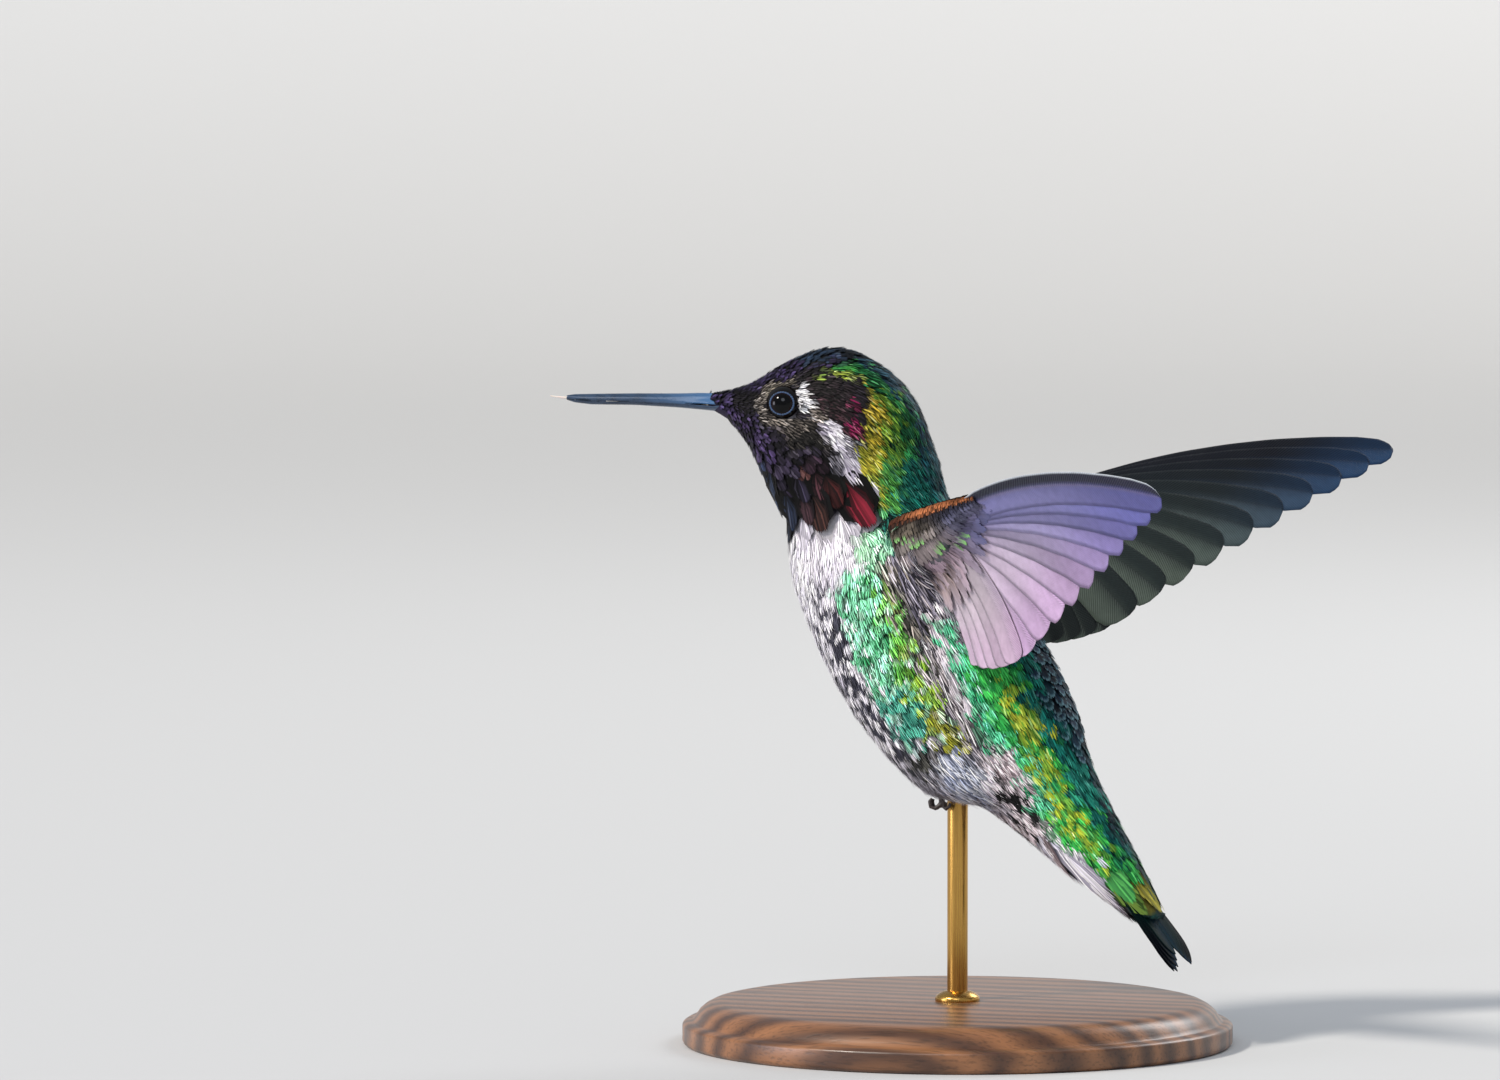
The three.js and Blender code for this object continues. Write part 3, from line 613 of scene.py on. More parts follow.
# nearest place on the skin, with its smooth normal
def onSkin(points):
    hits = [skinTree.find_nearest(p) for p in points.tolist()]
    spots = np.array([tuple(hit[0]) for hit in hits])
    corners = skinTris[[hit[2] for hit in hits]]
    a, b, c = (skinPoints[corners[:, k]] for k in range(3))
    whole = np.cross(b - a, c - a)
    size = np.maximum((whole * whole).sum(1), 1e-12)
    wa = (np.cross(b - spots, c - spots) * whole).sum(1) / size
    wb = (np.cross(c - spots, a - spots) * whole).sum(1) / size
    shares = np.stack([wa, wb, 1 - wa - wb], 1)[:, :, None]
    return spots, unit((skinNormals[corners] * shares).sum(1))


def finishSkin():
    skin.data.vertices.foreach_set("co", (skinPoints * mm).astype(np.float32).ravel())
    skin.data.update()
    colour, gloss, kind = paint(straight(skinPoints))
    dyePoints(skin.data, np.concatenate([colour * 0.55, np.zeros((len(colour), 1))], 1))
    skin.data.polygons.foreach_set("use_smooth", np.ones(len(skin.data.polygons), bool))
    finishPiece(skin, skinLook, "plumage", *skinPlan["flesh"])


finishSkin()
print("skin", len(skinPoints), "points")


# coat
# lengths in mm; barbs are drawn several times as far apart as real ones, so that they show
coat = {"candidates": 150000, "steps": 5, "rise": 0.40, "foot": 0.04, "eyeBare": 1.62, "eyeOut": 5.2,
        "patch": 0.003, "blur": 0.6, "sharp": ("spot", "soft", "fine", "scale", "covert"), "barbGap": 0.32,
        "pale": "c8f8de", "fringe": "84b0bc"}
# What each kind of feather is made of: how much of its lane a barb fills, how far barbs stray in plan
# and in height, how round and how blunt the tip is and how far the barbs close in again there, the
# painted shade of the web under the barbs and of the root, how unevenly the barbs catch light, how long,
# wide and far apart it is beside its neighbours, and the shares of a barb's length where its outline turns.
traits = ("fill", "stray", "loft", "round", "blunt", "close", "web", "root", "spread", "size", "turns")
kinds = {
    "loose": (0.46, 0.1, 0.05, 0.34, 2.2, 0, 0.22, 0.34, 0.4, (1, 1, 1), (0, 0.3, 0.74, 1)),
    "scale": (0.8, 0.02, 0.02, 0.3, 2.8, 0.36, 0.1, 0.15, 0.42, (1.05, 1.45, 1.3), (0, 0.5, 0.9, 1)),
    "down": (0.4, 0.3, 0.14, 0.25, 2.2, 0, 0.35, 0.45, 0.35, (1.15, 1, 1), (0, 0.3, 0.7, 1)),
    "fine": (0.44, 0.08, 0.04, 0.3, 2.2, 0, 0.12, 0.3, 0.6, (1.1, 1.2, 1.15), (0, 0.3, 0.74, 1)),
    "spot": (0.5, 0.12, 0.06, 0.34, 2.2, 0, 0.45, 0.6, 0.28, (1, 1, 1), (0, 0.3, 0.74, 1)),
    "fringe": (1.15, 0.01, 0.01, 0.4, 2.4, 0.1, 0.5, 0.35, 0.15, (1.05, 1.2, 1.4), (0, 0.72, 0.88, 1)),
    "strand": (0.38, 0.4, 0.16, 0.2, 2.2, 0, 0.22, 0.4, 0.5, (1.5, 0.7, 1), (0, 0.3, 0.7, 1)),
    "soft": (0.52, 0.1, 0.07, 0.3, 2.2, 0, 0.55, 0.75, 0.24, (1.15, 1, 1), (0, 0.3, 0.74, 1)),
    "tuft": (0.46, 0.08, 0.05, 0.26, 2.6, 0.1, 0.22, 0.35, 0.48, (0.85, 1.2, 1.3), (0, 0.35, 0.8, 1)),
    "sleek": (0.6, 0.06, 0.02, 0.32, 2.4, 0.1, 0.4, 0.5, 0.36, (1.15, 1.05, 1), (0, 0.35, 0.78, 1)),
    "covert": (0.95, 0.01, 0.01, 0.38, 2.6, 0.2, 0.6, 0.6, 0.16, (1, 1, 1), (0, 0.5, 0.9, 1)),
}
kinds = {name: dict(zip(traits, row)) for name, row in kinds.items()}
# the pieces of the coat, each a place in the side view of the straight bird
seats = {"coat_crown": (-19, 80), "coat_face": (-20, 74), "coat_gorget": (-19, 65), "coat_nape": (-7, 71),
         "coat_breast": (-16, 56), "coat_belly": (-13, 42), "coat_side": (-5, 48), "coat_flank": (1, 36),
         "coat_back": (9, 50), "coat_rump": (15, 35), "coat_undertail": (9, 25), "coat_uppertail": (21, 24)}
spine = np.array([(-30.5, 75.0), (-24, 73.5), (-16, 70.5), (-11, 64), (-9, 56), (-6, 46), (0, 36), (9, 28),
                  (18, 20), (24, 14)])


# candidate places all over the skin, evenly spread
def scatter(count):
    corners = skinPoints[skinTris]
    area = np.linalg.norm(np.cross(corners[:, 1] - corners[:, 0], corners[:, 2] - corners[:, 0]), axis=1)
    pick = dice.choice(len(area), count, p=area / area.sum())
    a, b = dice.random((2, count, 1))
    flip = a + b > 1
    a, b = np.where(flip, 1 - a, a), np.where(flip, 1 - b, b)
    c = corners[pick]
    return c[:, 0] + (c[:, 1] - c[:, 0]) * a + (c[:, 2] - c[:, 0]) * b


# keeps candidates that stand at least their own spacing apart
def thin(points, spacing):
    cell = 1.4
    grid, kept = {}, []
    keys = np.floor(points / cell).astype(int).tolist()
    around = [(i, j, k) for i in (-1, 0, 1) for j in (-1, 0, 1) for k in (-1, 0, 1)]
    places, gaps = points.tolist(), (spacing ** 2).tolist()
    for index, (x, y, z) in enumerate(places):
        i, j, k = keys[index]
        gap = gaps[index]
        free = True
        for a, b, c in around:
            for px, py, pz in grid.get((i + a, j + b, k + c), ()):
                if (px - x) ** 2 + (py - y) ** 2 + (pz - z) ** 2 < gap:
                    free = False
                    break
            if not free:
                break
        if free:
            grid.setdefault((i, j, k), []).append((x, y, z))
            kept.append(index)
    return np.array(kept)


# Follows the skin from each root: places, normals and directions at a few stations. Where the skin
# ends or turns away sharply, a feather runs straight on.
def layAlong(roots, ways, lengths, steps=coat["steps"]):
    spots, normals, dirs = [], [], []
    p, n = onSkin(roots)
    d = unit(ways - n * (ways * n).sum(1, keepdims=True))
    stride = (lengths / (steps - 1))[:, None]
    for step in range(steps):
        spots.append(p)
        normals.append(n)
        dirs.append(d)
        ahead = p + d * stride
        q, m = onSkin(ahead)
        e = unit(d - m * (d * m).sum(1, keepdims=True))
        off = np.linalg.norm(q - ahead, axis=1, keepdims=True)
        free = ((e * d).sum(1, keepdims=True) < 0.9) | (off > 0.45 * stride)
        p, n, d = np.where(free, ahead, q), np.where(free, n, m), np.where(free, d, e)
    return [np.stack(each, 1) for each in (spots, normals, dirs)]


# values at fractions of the way along the stations
def along(stations, share):
    steps = stations.shape[1] - 1
    at = np.clip(share, 0, 1) * steps
    low = np.minimum(at.astype(int), steps - 1)
    part = (at - low)[..., None]
    rows = np.arange(len(stations)).reshape((-1,) + (1,) * (share.ndim - 1))
    return stations[rows, low] * (1 - part) + stations[rows, low + 1] * part


# Turns feather plans into points: share along the length, millimetres across and above the skin.
def raised(lay, share, across, height):
    spots, normals, dirs = (along(each, share) for each in lay)
    normals = unit(normals)
    past = np.maximum(share - 1, 0)[..., None]
    flank = unit(np.cross(normals, dirs))
    return spots + dirs * past + flank * across[..., None] + normals * height[..., None]


# A feather is a web of a dozen faces, darkened as painted shade, under barbs that fan out to a rounded tip.
def fanFeathers(lay, length, width, rise, kind, half, roll=0.0, lift=0.0):
    count = len(length)
    lane = np.arange(-half, half + 1) / half
    barbs = len(lane)
    stray = dice.normal(0, kind["stray"], (3, count, barbs))
    start = (0.04 + 0.24 * (1 - np.abs(lane)) + 0.05 * stray[0])[:, :, None]
    end = (1 - kind["round"] * np.abs(lane) ** kind["blunt"] + 0.55 * stray[1])[:, :, None]
    t = np.array(kind["turns"], float)
    share = start + (end - start) * t
    halfWidth = (width / 2)[:, None, None]
    across = (lane * 0.93 + 0.45 * stray[2])[:, :, None] * t ** 0.6
    across = across * (1 - kind["close"] * ease(0.55, 1, t)) * halfWidth
    strip = (width / 2 / half)[:, None, None] * kind["fill"] * np.array([0.45, 1.0, 0.9, 0.0])
    arch = 1 - 0.22 * (across / halfWidth) ** 2
    height = coat["foot"] + rise[:, None, None] * ease(0, 0.9, share) * arch
    height = height + dice.normal(0, kind["loft"], (count, barbs, 1)) * t + roll * across + lift
    rim = [raised(lay, share, across + strip / 2 * k, height) for k in (-1, 1)]
    points = np.concatenate([rim[0][:, :, :3], rim[1][:, :, :3], rim[0][:, :, 3:]], 2)
    barb = np.array([(0, 1, 4), (0, 4, 3), (1, 2, 5), (1, 5, 4), (2, 6, 5)])
    shares = np.concatenate([share[:, :, :3], share[:, :, :3], share[:, :, 3:]], 2)
    shade = np.clip(np.exp(dice.normal(0, kind["spread"], (count, barbs, 1))), 0.3, 2.4)
    shade = np.broadcast_to(shade, shares.shape)
    tone = np.broadcast_to(dice.random((count, barbs, 1)), shares.shape)
    run = np.broadcast_to(np.concatenate([t[:3], t]), shares.shape)
    # the web: a dark sheet just under the barbs, painted shade in the gaps between them
    r, c = np.meshgrid([0.03, 0.34, 0.66, 0.93], [-1.0, 0.0, 1.0], indexing="ij")
    webShare = np.broadcast_to(r * (1 - kind["round"] * np.abs(c) ** 2), (count, 1, 4, 3)).reshape(count, 1, 12)
    webAcross = (c * (0.55 + 0.4 * ease(0, 0.3, r))).reshape(1, 1, 12) * halfWidth
    arch = 1 - 0.32 * (webAcross / halfWidth) ** 2
    webHeight = coat["foot"] + rise[:, None, None] * ease(0, 0.9, webShare) * arch - 0.06
    webHeight = webHeight + roll * webAcross + lift
    web = raised(lay, webShare, webAcross, webHeight)
    quads = loftFaces(4, 3, closed=False)
    webFaces = np.concatenate([quads[:, [0, 3, 2]], quads[:, [0, 2, 1]]])
    one = np.concatenate([webFaces + barbs * 7] + [barb + 7 * k for k in range(barbs)])
    points = np.concatenate([points.reshape(count, -1, 3), web.reshape(count, -1, 3)], 1)
    shares = np.concatenate([shares.reshape(count, -1), webShare.reshape(count, -1)], 1)
    run = np.concatenate([run.reshape(count, -1), np.full((count, 12), 0.5)], 1)
    shade = np.concatenate([shade.reshape(count, -1), np.full((count, 12), kind["web"])], 1)
    tone = np.concatenate([tone.reshape(count, -1), np.ones((count, 12))], 1)
    lanes = np.concatenate([np.repeat(lane, 7), c.ravel()])
    return {"points": points, "faces": one, "share": shares, "shade": shade, "tone": tone, "run": run,
            "lane": np.broadcast_to(lanes, shares.shape)}


# place on the unrolled skin: how far along the spine, and the angle round it
def unrolled(points):
    q = straight(points)
    best = np.full(len(q), 1e9)
    far = np.zeros(len(q))
    lengths = np.linalg.norm(np.diff(spine, axis=0), axis=1)
    done = np.concatenate([[0], np.cumsum(lengths)])
    height = np.zeros(len(q))
    for index, (a, b) in enumerate(zip(spine[:-1], spine[1:])):
        run = (b - a) / lengths[index]
        gap = q[:, [0, 2]] - a
        t = np.clip(gap @ run, 0, lengths[index])
        off = np.linalg.norm(gap - t[:, None] * run, axis=1)
        closer = off < best
        best = np.where(closer, off, best)
        far = np.where(closer, done[index] + t, far)
        height = np.where(closer, gap @ np.array([-run[1], run[0]]), height)
    turn = np.arctan2(q[:, 1], height) / (2 * math.pi) + 0.5
    return np.stack([0.02 + 0.96 * far / done[-1], 0.02 + 0.76 * turn], 1)


# joins sets of feathers, each with its colours and its place on the unrolled skin, as one piece
def coatPiece(name, parts):
    points, faces, colours, maps, total = [], [], [], [], 0
    for feathers, rgb, alpha, centre in parts:
        count, each = feathers["points"].shape[:2]
        base = np.arange(count)[:, None, None] * each + total
        faces.append((feathers["faces"][None] + base).reshape(-1, 3))
        points.append(feathers["points"].reshape(-1, 3))
        colours.append(np.concatenate([np.clip(rgb, 0.002, 0.95), alpha[..., None]], -1).reshape(-1, 4))
        patch = np.stack([feathers["share"] - 0.5, feathers["lane"] / 2], -1) * coat["patch"]
        maps.append((centre[:, None] + patch).reshape(-1, 2))
        total += count * each
    faces = np.concatenate(faces)
    piece = meshPiece(name, np.concatenate(points), faces, np.concatenate(colours),
                      {"OFBake": np.concatenate(maps)})
    finishPiece(piece, plumage, "plumage")
    print(name, len(faces), "triangles")
    return len(faces)


# feathers placed one by one: root, tip, width, light and dark colour, gloss, kind, lift
placed = [
    ((-22.0, 67.7), (-21.0, 63.5), 1.9, "2a3e62", "070a12", 0.4, "scale", 0.12),
    ((-21.3, 65.6), (-20.2, 61.7), 2.2, "2c4468", "080b14", 0.4, "scale", 0.16),
    ((-18.8, 66.8), (-17.4, 63.3), 2.2, "3e384e", "0b090f", 0.35, "scale", 0.14),
    ((-16.9, 67.0), (-15.5, 63.5), 2.2, "5c3840", "110a0e", 0.35, "scale", 0.16),
    ((-20.2, 64.7), (-18.7, 60.3), 2.7, "34405c", "09090f", 0.4, "scale", 0.2),
    ((-18.3, 64.7), (-16.9, 60.7), 2.3, "5a3e46", "110b0f", 0.35, "scale", 0.22),
    ((-17.1, 64.7), (-15.4, 59.8), 3.0, "644038", "120a0c", 0.4, "scale", 0.22),
    ((-15.5, 66.5), (-13.7, 62.8), 2.6, "7c3838", "160a0c", 0.4, "scale", 0.2),
    ((-13.7, 66.1), (-10.3, 60.4), 3.5, "a42c40", "18050a", 0.45, "scale", 0.24),
    ((16.0, 21.8), (20.0, 16.9), 3.0, "58b05a", "2a6c3a", 0.45, "covert", 0.03),
    ((16.9, 20.6), (21.5, 15.3), 2.8, "88a848", "4c6c30", 0.45, "covert", 0.06),
    ((18.8, 20.8), (23.1, 15.8), 3.0, "c4b840", "7c7c28", 0.45, "covert", 0.1),
    ((20.2, 22.7), (23.9, 17.1), 2.4, "144a40", "06201f", 0.45, "covert", 0.05),
    ((10.7, 24.1), (17.4, 17.7), 2.6, "ffffff", "c4c0d4", 0, "soft", 0.25),
    ((9.5, 25.0), (13.2, 19.2), 1.5, "f4e4e8", "c4b0b8", 0, "down", 0.4),
    ((11.8, 22.7), (18.2, 16.9), 2.2, "f6f4fe", "b8b4c8", 0, "soft", 0.12),
]
# the tail's root and direction in x and z, and how far along it feathers still grow on the skin
tailLine = {"root": (12.6, 28.7), "axis": (0.646, -0.763), "bare": 13.2}
# the horn of the bill is bare in front of these places, and below a slant at the nostril
hornEdge = {"front": -29.4, "wedge": -27.3, "nostril": (-29.56, 74.97), "slope": -0.6, "ridge": (-28.4, 75.35)}


# the near skin's place for a mark in the side view, on one side of the body
def spotAt(roots, q, across, up, mark, side):
    off = np.hypot(across - mark[0], up - mark[1]) + 100 * (q[:, 1] * side < 0.3)
    return roots[np.argmin(off)]


# starts, ends, widths, two dyes, gloss, kind and lift of the feathers placed one by one, on both sides
def placedOnes(roots, q):
    across, up = sideOn(q)
    rows = []
    for mark, tip, wide, first, second, shine, kindName, lift in placed:
        for side in (-1, 1):
            start, end = (spotAt(roots, q, across, up, place, side) for place in (mark, tip))
            rows.append((start, end, wide, toLinear(first), toLinear(second), shine,
                         featherKinds.index(kindName), lift))
    return [np.array(column) for column in zip(*rows)]


# where feathers grow, and their lengths: those that point at an eye stop short of its lid
def growing(roots, q, way, length):
    x, z = q[:, 0], q[:, 2]
    (hornX, hornZ), (ridgeX, ridgeZ) = hornEdge["nostril"], hornEdge["ridge"]
    use = x > hornEdge["front"]
    use &= (x > hornEdge["wedge"]) | (z > hornZ + hornEdge["slope"] * (x - hornX))
    use &= (x > ridgeX) | (z < ridgeZ)
    for side in (-1, 1):
        gap = q - np.array([eyes["x"], side * coat["eyeOut"], eyes["z"]])
        far = np.linalg.norm(gap, axis=1)
        use &= far > coat["eyeBare"]
        facing = -(way * gap).sum(1) / far
        room = np.maximum(far - coat["eyeBare"] + 0.25, 0.4)
        length = np.where((facing > 0.3) & (far < 4), np.minimum(length, room), length)
    use &= armShare(roots) < 0.6
    use &= (np.hypot(roots[:, 0], roots[:, 1]) > 2.5) | (roots[:, 2] > 37)
    return use, length


# nothing else grows where a placed feather lies, or on the end of the skin inside the tail
def covered(roots, q, starts, ends, widths):
    (rootX, rootZ), (ax, az) = tailLine["root"], tailLine["axis"]
    under = (q[:, 0] - rootX) * ax + (q[:, 2] - rootZ) * az > tailLine["bare"]
    for start, end, wide in zip(starts, ends, widths):
        run = end - start
        gap = roots - start
        part = np.clip(gap @ run / (run @ run), 0.1, 0.8)
        under |= np.linalg.norm(gap - part[:, None] * run, axis=1) < wide * 0.45
    return under


# colours of a set of feathers: barbs between the light and the dark dye, edges by their kind
def featherColours(kindName, feathers, light, dark, tint):
    share, shade, tone, run = (feathers[each] for each in ("share", "shade", "tone", "run"))
    # painted light down the middle of each scale and painted shade at its sides
    if kindName == "scale":  # lit down the middle, with a dark rim
        tone = np.maximum(tone ** 0.7, ease(0.5, 0.95, np.abs(feathers["lane"])))
    rgb = mix(light[:, None], dark[:, None], tone[..., None])
    # painted shade along the rim at the scale's tip
    if kindName == "scale":
        rgb = rgb * (1 - 0.75 * ease(0.86, 1.0, run))[..., None]
    if kindName == "fringe":  # pale edges to dark scales
        rgb = dyed(rgb, coat["fringe"], ease(0.78, 0.9, run) * 0.42)
    # painted shade towards each feather's root, by the kind's root value
    base = mix(kinds[kindName]["root"], 1, ease(0.1, 0.7, share))
    rgb = rgb * (tint[:, None] * shade * base)[..., None]
    # painted highlight: the brightest barbs wash out a little towards grey
    pale = rgb.mean(-1, keepdims=True) * 1.25
    return mix(rgb, pale, (0.3 * ease(1.3, 2.4, shade))[..., None])


def growCoat():
    roots = scatter(coat["candidates"])
    q = straight(roots)
    way, length, width, spacing = combed(q)
    use, length = growing(roots, q, way, length)
    spacing = spacing * np.array([kinds[each]["size"][2] for each in featherKinds])[paint(q)[2]]
    roots, q, way, length, width, spacing = (a[use] for a in (roots, q, way, length, width, spacing))
    starts, ends, widths, *dyes = placedOnes(roots, q)
    kept = thin(roots, spacing)
    kept = kept[~covered(roots[kept], q[kept], starts, ends, widths)]
    roots, q, way, length, width = (a[kept] for a in (roots, q, way, length, width))
    count = len(roots)
    length = length * dice.uniform(0.85, 1.15, count)
    width = width * dice.uniform(0.9, 1.12, count)
    # the combing swings a little from feather to feather
    normals = onSkin(roots)[1]
    turn = dice.normal(0, 0.10, count)
    way = swing(way, neckTurn(q[:, 2]))
    way = unit(way - normals * (way * normals).sum(1, keepdims=True))
    way = unit(way * np.cos(turn)[:, None] + np.cross(normals, way) * np.sin(turn)[:, None])
    sharp = np.isin(paint(q)[2], [featherKinds.index(each) for each in coat["sharp"]])
    blur = (np.where(sharp, 0.4, 1) * coat["blur"] * np.minimum(width, 1.1))[:, None]
    middle = straight(roots + way * (length * 0.6)[:, None]) + dice.normal(0, 1, (count, 3)) * blur
    drift = dice.normal(0, 0.25, count)
    light, gloss, kind = paint(middle, drift - 0.35)
    dark = paint(middle, drift + 0.35)[0]
    # here and there a tuft on the sides is pale mint
    pale = (kind == featherKinds.index("tuft")) & (dice.random(count) < 0.2)
    light, dark = dyed(light, coat["pale"], 0.75 * pale), dyed(dark, coat["pale"], 0.35 * pale)
    rise = coat["rise"] * coatDepth(roots) / skinPlan["bodyDepth"] * dice.uniform(0.85, 1.25, count)
    # the feathers placed one by one lie over the rest
    far = np.linalg.norm(ends - starts, axis=1)
    rest = (roots, way, length, width, light, dark, gloss, kind, np.zeros(count), rise)
    extra = (starts, (ends - starts) / far[:, None], far * 1.05, widths, *dyes, np.full(len(far), 0.3))
    roots, way, length, width, light, dark, gloss, kind, lift, rise = map(np.concatenate, zip(rest, extra))
    count = len(roots)
    longer, wider = (np.array([kinds[each]["size"][k] for each in featherKinds])[kind] for k in (0, 1))
    length, width = length * longer, width * wider
    half = np.clip(np.round(width / 2 / coat["barbGap"]), 1, 6).astype(int)
    lay = layAlong(roots, way, length)
    seat = np.array(list(seats.values()))
    q = straight(roots)
    owner = np.argmin(np.hypot(q[:, None, 0] - seat[None, :, 0], q[:, None, 2] - seat[None, :, 1]), 1)
    tint = np.where(kind == featherKinds.index("sleek"), 0.15, 0.3) * gloss * dice.normal(0, 1, count)
    tint = dice.uniform(0.88, 1.12, count) * np.clip(1 + tint, 0.5, 1.7)
    centre = unrolled(roots)
    total = 0
    for index, seatName in enumerate(seats):
        parts = []
        for kindIndex, barbs in [(k, n) for k in range(len(featherKinds)) for n in range(1, 7)]:
            mine = np.flatnonzero((owner == index) & (kind == kindIndex) & (half == barbs))
            if not len(mine):
                continue
            kindName = featherKinds[kindIndex]
            feathers = fanFeathers([each[mine] for each in lay], length[mine], width[mine], rise[mine],
                                   kinds[kindName], barbs, dice.normal(0, 0.06, (len(mine), 1, 1)),
                                   lift[mine][:, None, None])
            rgb = featherColours(kindName, feathers, light[mine], dark[mine], tint[mine])
            parts.append((feathers, rgb, np.broadcast_to(gloss[mine][:, None], rgb.shape[:2]), centre[mine]))
        if parts:
            total += coatPiece(seatName, parts)
    print("coat", count, "feathers", total, "triangles")


growCoat()


# wings
wing = {"camber": 1.1, "chord": 18, "wrist": (9, -1.0), "handTip": (16, -2.3), "elbow": (3.4, 3.6),
        "blade": 0.09, "quill": 0.08, "overlap": 0.05, "layer": 0.05}
armRows = np.array([(-3.5, 2.0, 4.2, 2.6), (1.5, 1.5, 4.4, 2.2), (6.0, 0.6, 3.9, 1.6), (11.0, -0.8, 2.8, 1.2),
                    (16.0, -2.2, 1.6, 0.9), (20.5, -3.2, 0.7, 0.5)])


def camberAt(t):
    return wing["camber"] * (1 - (2 * t / wing["chord"] - 0.7) ** 2)


# root, tip, bow, half width and rank of each flight feather, from the body outwards
def quillRow():
    row = []
    for i in range(6):
        u = i / 5
        root = mix(np.array(wing["elbow"]), np.array(wing["wrist"]), u)
        tip = np.array([mix(4.4, 15.2, u), mix(15.6, 16.2, u) + 0.7 * math.sin(math.pi * u)])
        row.append((root, tip, mix(0.3, 0.6, u), 2.1, i, "secondaries"))
    for i in range(10):
        u = i / 9
        v = 1 - (1 - u) ** 1.12 - 0.06 * u * (1 - u)
        root = mix(np.array(wing["wrist"]), np.array(wing["handTip"]), u)
        tip = np.array([mix(18.6, 57.5, v), mix(15.2, -0.1, v) - 0.8 * math.sin(math.pi * v)])
        row.append((root, tip, mix(0.5, 2.5, u), mix(2.7, 2.0, u * u), i, "primaries"))
    return row


quills = quillRow()


# One flight feather as a thin closed blade: rings of points over the upper web and back under it.
# Gives points in its own plane (along, ahead of the quill, height), with what painting needs.
def bladeGrid(half, length, widths, overlap):
    rows = 1 - (1 - np.linspace(0, 1, 34)) ** 1.35
    columns = np.array([-1, -0.8, -0.58, -0.36, -0.16, -0.06, 0, 0.06, 0.16, 0.36, 0.6, 0.82, 1])
    u, c = np.meshgrid(rows, columns, indexing="ij")
    wide = np.interp(u, *widths)
    reach = np.where(c > 0, 0.8, 1.2) * half * wide * c
    rib = wing["quill"] * np.exp(-(reach / 0.16) ** 2) * (1 - 0.75 * u)
    thick = wing["blade"] * (1 - 0.7 * np.abs(c) ** 3) * (1 - 0.5 * u) + rib
    tilt = overlap * c * np.minimum(wide * 1.3, 1)
    ripple = 0.02 * np.sin(u * length / 0.9 + c * 2)
    upper = tilt + thick / 2 + ripple
    under = tilt - thick / 2 + ripple
    u = np.concatenate([u, u], 1)
    reach = np.concatenate([reach, reach[:, ::-1]], 1)
    lift = np.concatenate([upper, under[:, ::-1]], 1)
    c = np.concatenate([c, c[:, ::-1]], 1)
    top = np.concatenate([np.ones_like(upper), np.zeros_like(upper)], 1)
    return u, reach, lift, c, top


def bentAlong(root, tip, bow, u, reach):
    root, tip = np.asarray(root, float), np.asarray(tip, float)
    line = tip - root
    ahead = unit(np.array([line[1], -line[0]]))
    middle = (root + tip) / 2 + 2 * bow * ahead
    u = u[..., None]
    spot = (1 - u) ** 2 * root + 2 * u * (1 - u) * middle + u ** 2 * tip
    way = unit((1 - u) * (middle - root) + u * (tip - middle))
    out = np.stack([way[..., 1], -way[..., 0]], -1)
    return spot + out * reach[..., None]


# soft pale bands between the quills
def bands(u, c, r):
    return np.sin(2.3 * (r + 0.5 * c) + 3 * u) + 0.6 * np.sin(5.1 * (r + 0.5 * c) - 2 * u)


# both faces of a vane, with the quill's colours over them
def vane(under, upper, c, top, quillUnder, quillUpper, strength):
    rib = np.exp(-(c / 0.07) ** 2)[..., None]
    top = top[..., None]
    return mix(mix(under, upper, top), mix(hue(quillUnder), hue(quillUpper), top), rib * strength)


# colours of the flight feathers at share u of the length, c across the web and rank r on the row
def primaryLook(u, c, r, top):
    hand = ease(2, 8, r)[..., None]
    light, dark, tipTint = (mix(hue(first), hue(second), hand) for first, second in
                            (("bcacc0", "7876a6"), ("98889e", "343c66"), ("b08cb8", "5456a0")))
    under = mix(light, dark, ease(-0.6, 0.9, c)[..., None])
    under = mix(under, tipTint, (ease(0.4, 0.95, u) * 0.65)[..., None])
    # painted light along the front edge of each web, against the shade where the blades overlap
    under = mix(under, light * 1.15, ease(0.6, 1, c)[..., None] * 0.7)
    under = under * (1 + 0.17 * bands(u, c, r) * (1 - 0.5 * ease(0.7, 1, u)))[..., None]
    foremost = ease(7.5, 8.5, r) * ease(-0.1, 0.3, c)
    under = dyed(under, "12131f", foremost * 0.9)
    under = dyed(under, "c0c8d0", foremost * ease(0.82, 0.95, c))
    slate, pale = (mix(hue(first), hue(second), hand) for first, second in
                   (("1e2626", "050a14"), ("465048", "1e3450")))
    upper = mix(pale, slate, ease(-0.6, 0.35, c)[..., None])
    upper = dyed(upper, "1c4470", ease(0.7, 1, u) * 0.25 * hand[..., 0])
    return vane(under, upper, c, top, "847688", "0a0d14", 0.3)


def secondaryLook(u, c, r, top):
    under = dyed(hue("beb2bc"), "948898", ease(-0.6, 0.9, c))
    under = dyed(under, "b490b4", ease(0.4, 0.95, u) * 0.55) * (1 + 0.13 * bands(u, c, r))[..., None]
    upper = dyed(hue("3c463e"), "141a1a", ease(-0.7, 0.3, c))
    return vane(under, upper, c, top, "8c8090", "101414", 0.3)


def tailLook(u, c, r, top):
    upper = dyed(hue("0c2422"), "060a12", ease(0.4, 0.8, u))
    # a painted blue sheen down the middle of each upper web
    upper = dyed(upper, "16405e", ease(-0.6, 0.2, c) * (1 - ease(0.4, 0.9, c)) * 0.5)
    upper = dyed(upper, "0a2a28", 0.5 * (1 - ease(0, 2, r)))
    under = dyed(hue("0a101c"), "04060c", ease(0.2, 0.7, u))
    # and a painted blue sheen down the middle of each under web
    under = dyed(under, "153254", ease(-0.4, 0.3, c) * (1 - ease(0.5, 0.9, c)) * 0.5)
    return vane(under, upper, c, top, "08090c", "08090c", 0.6)


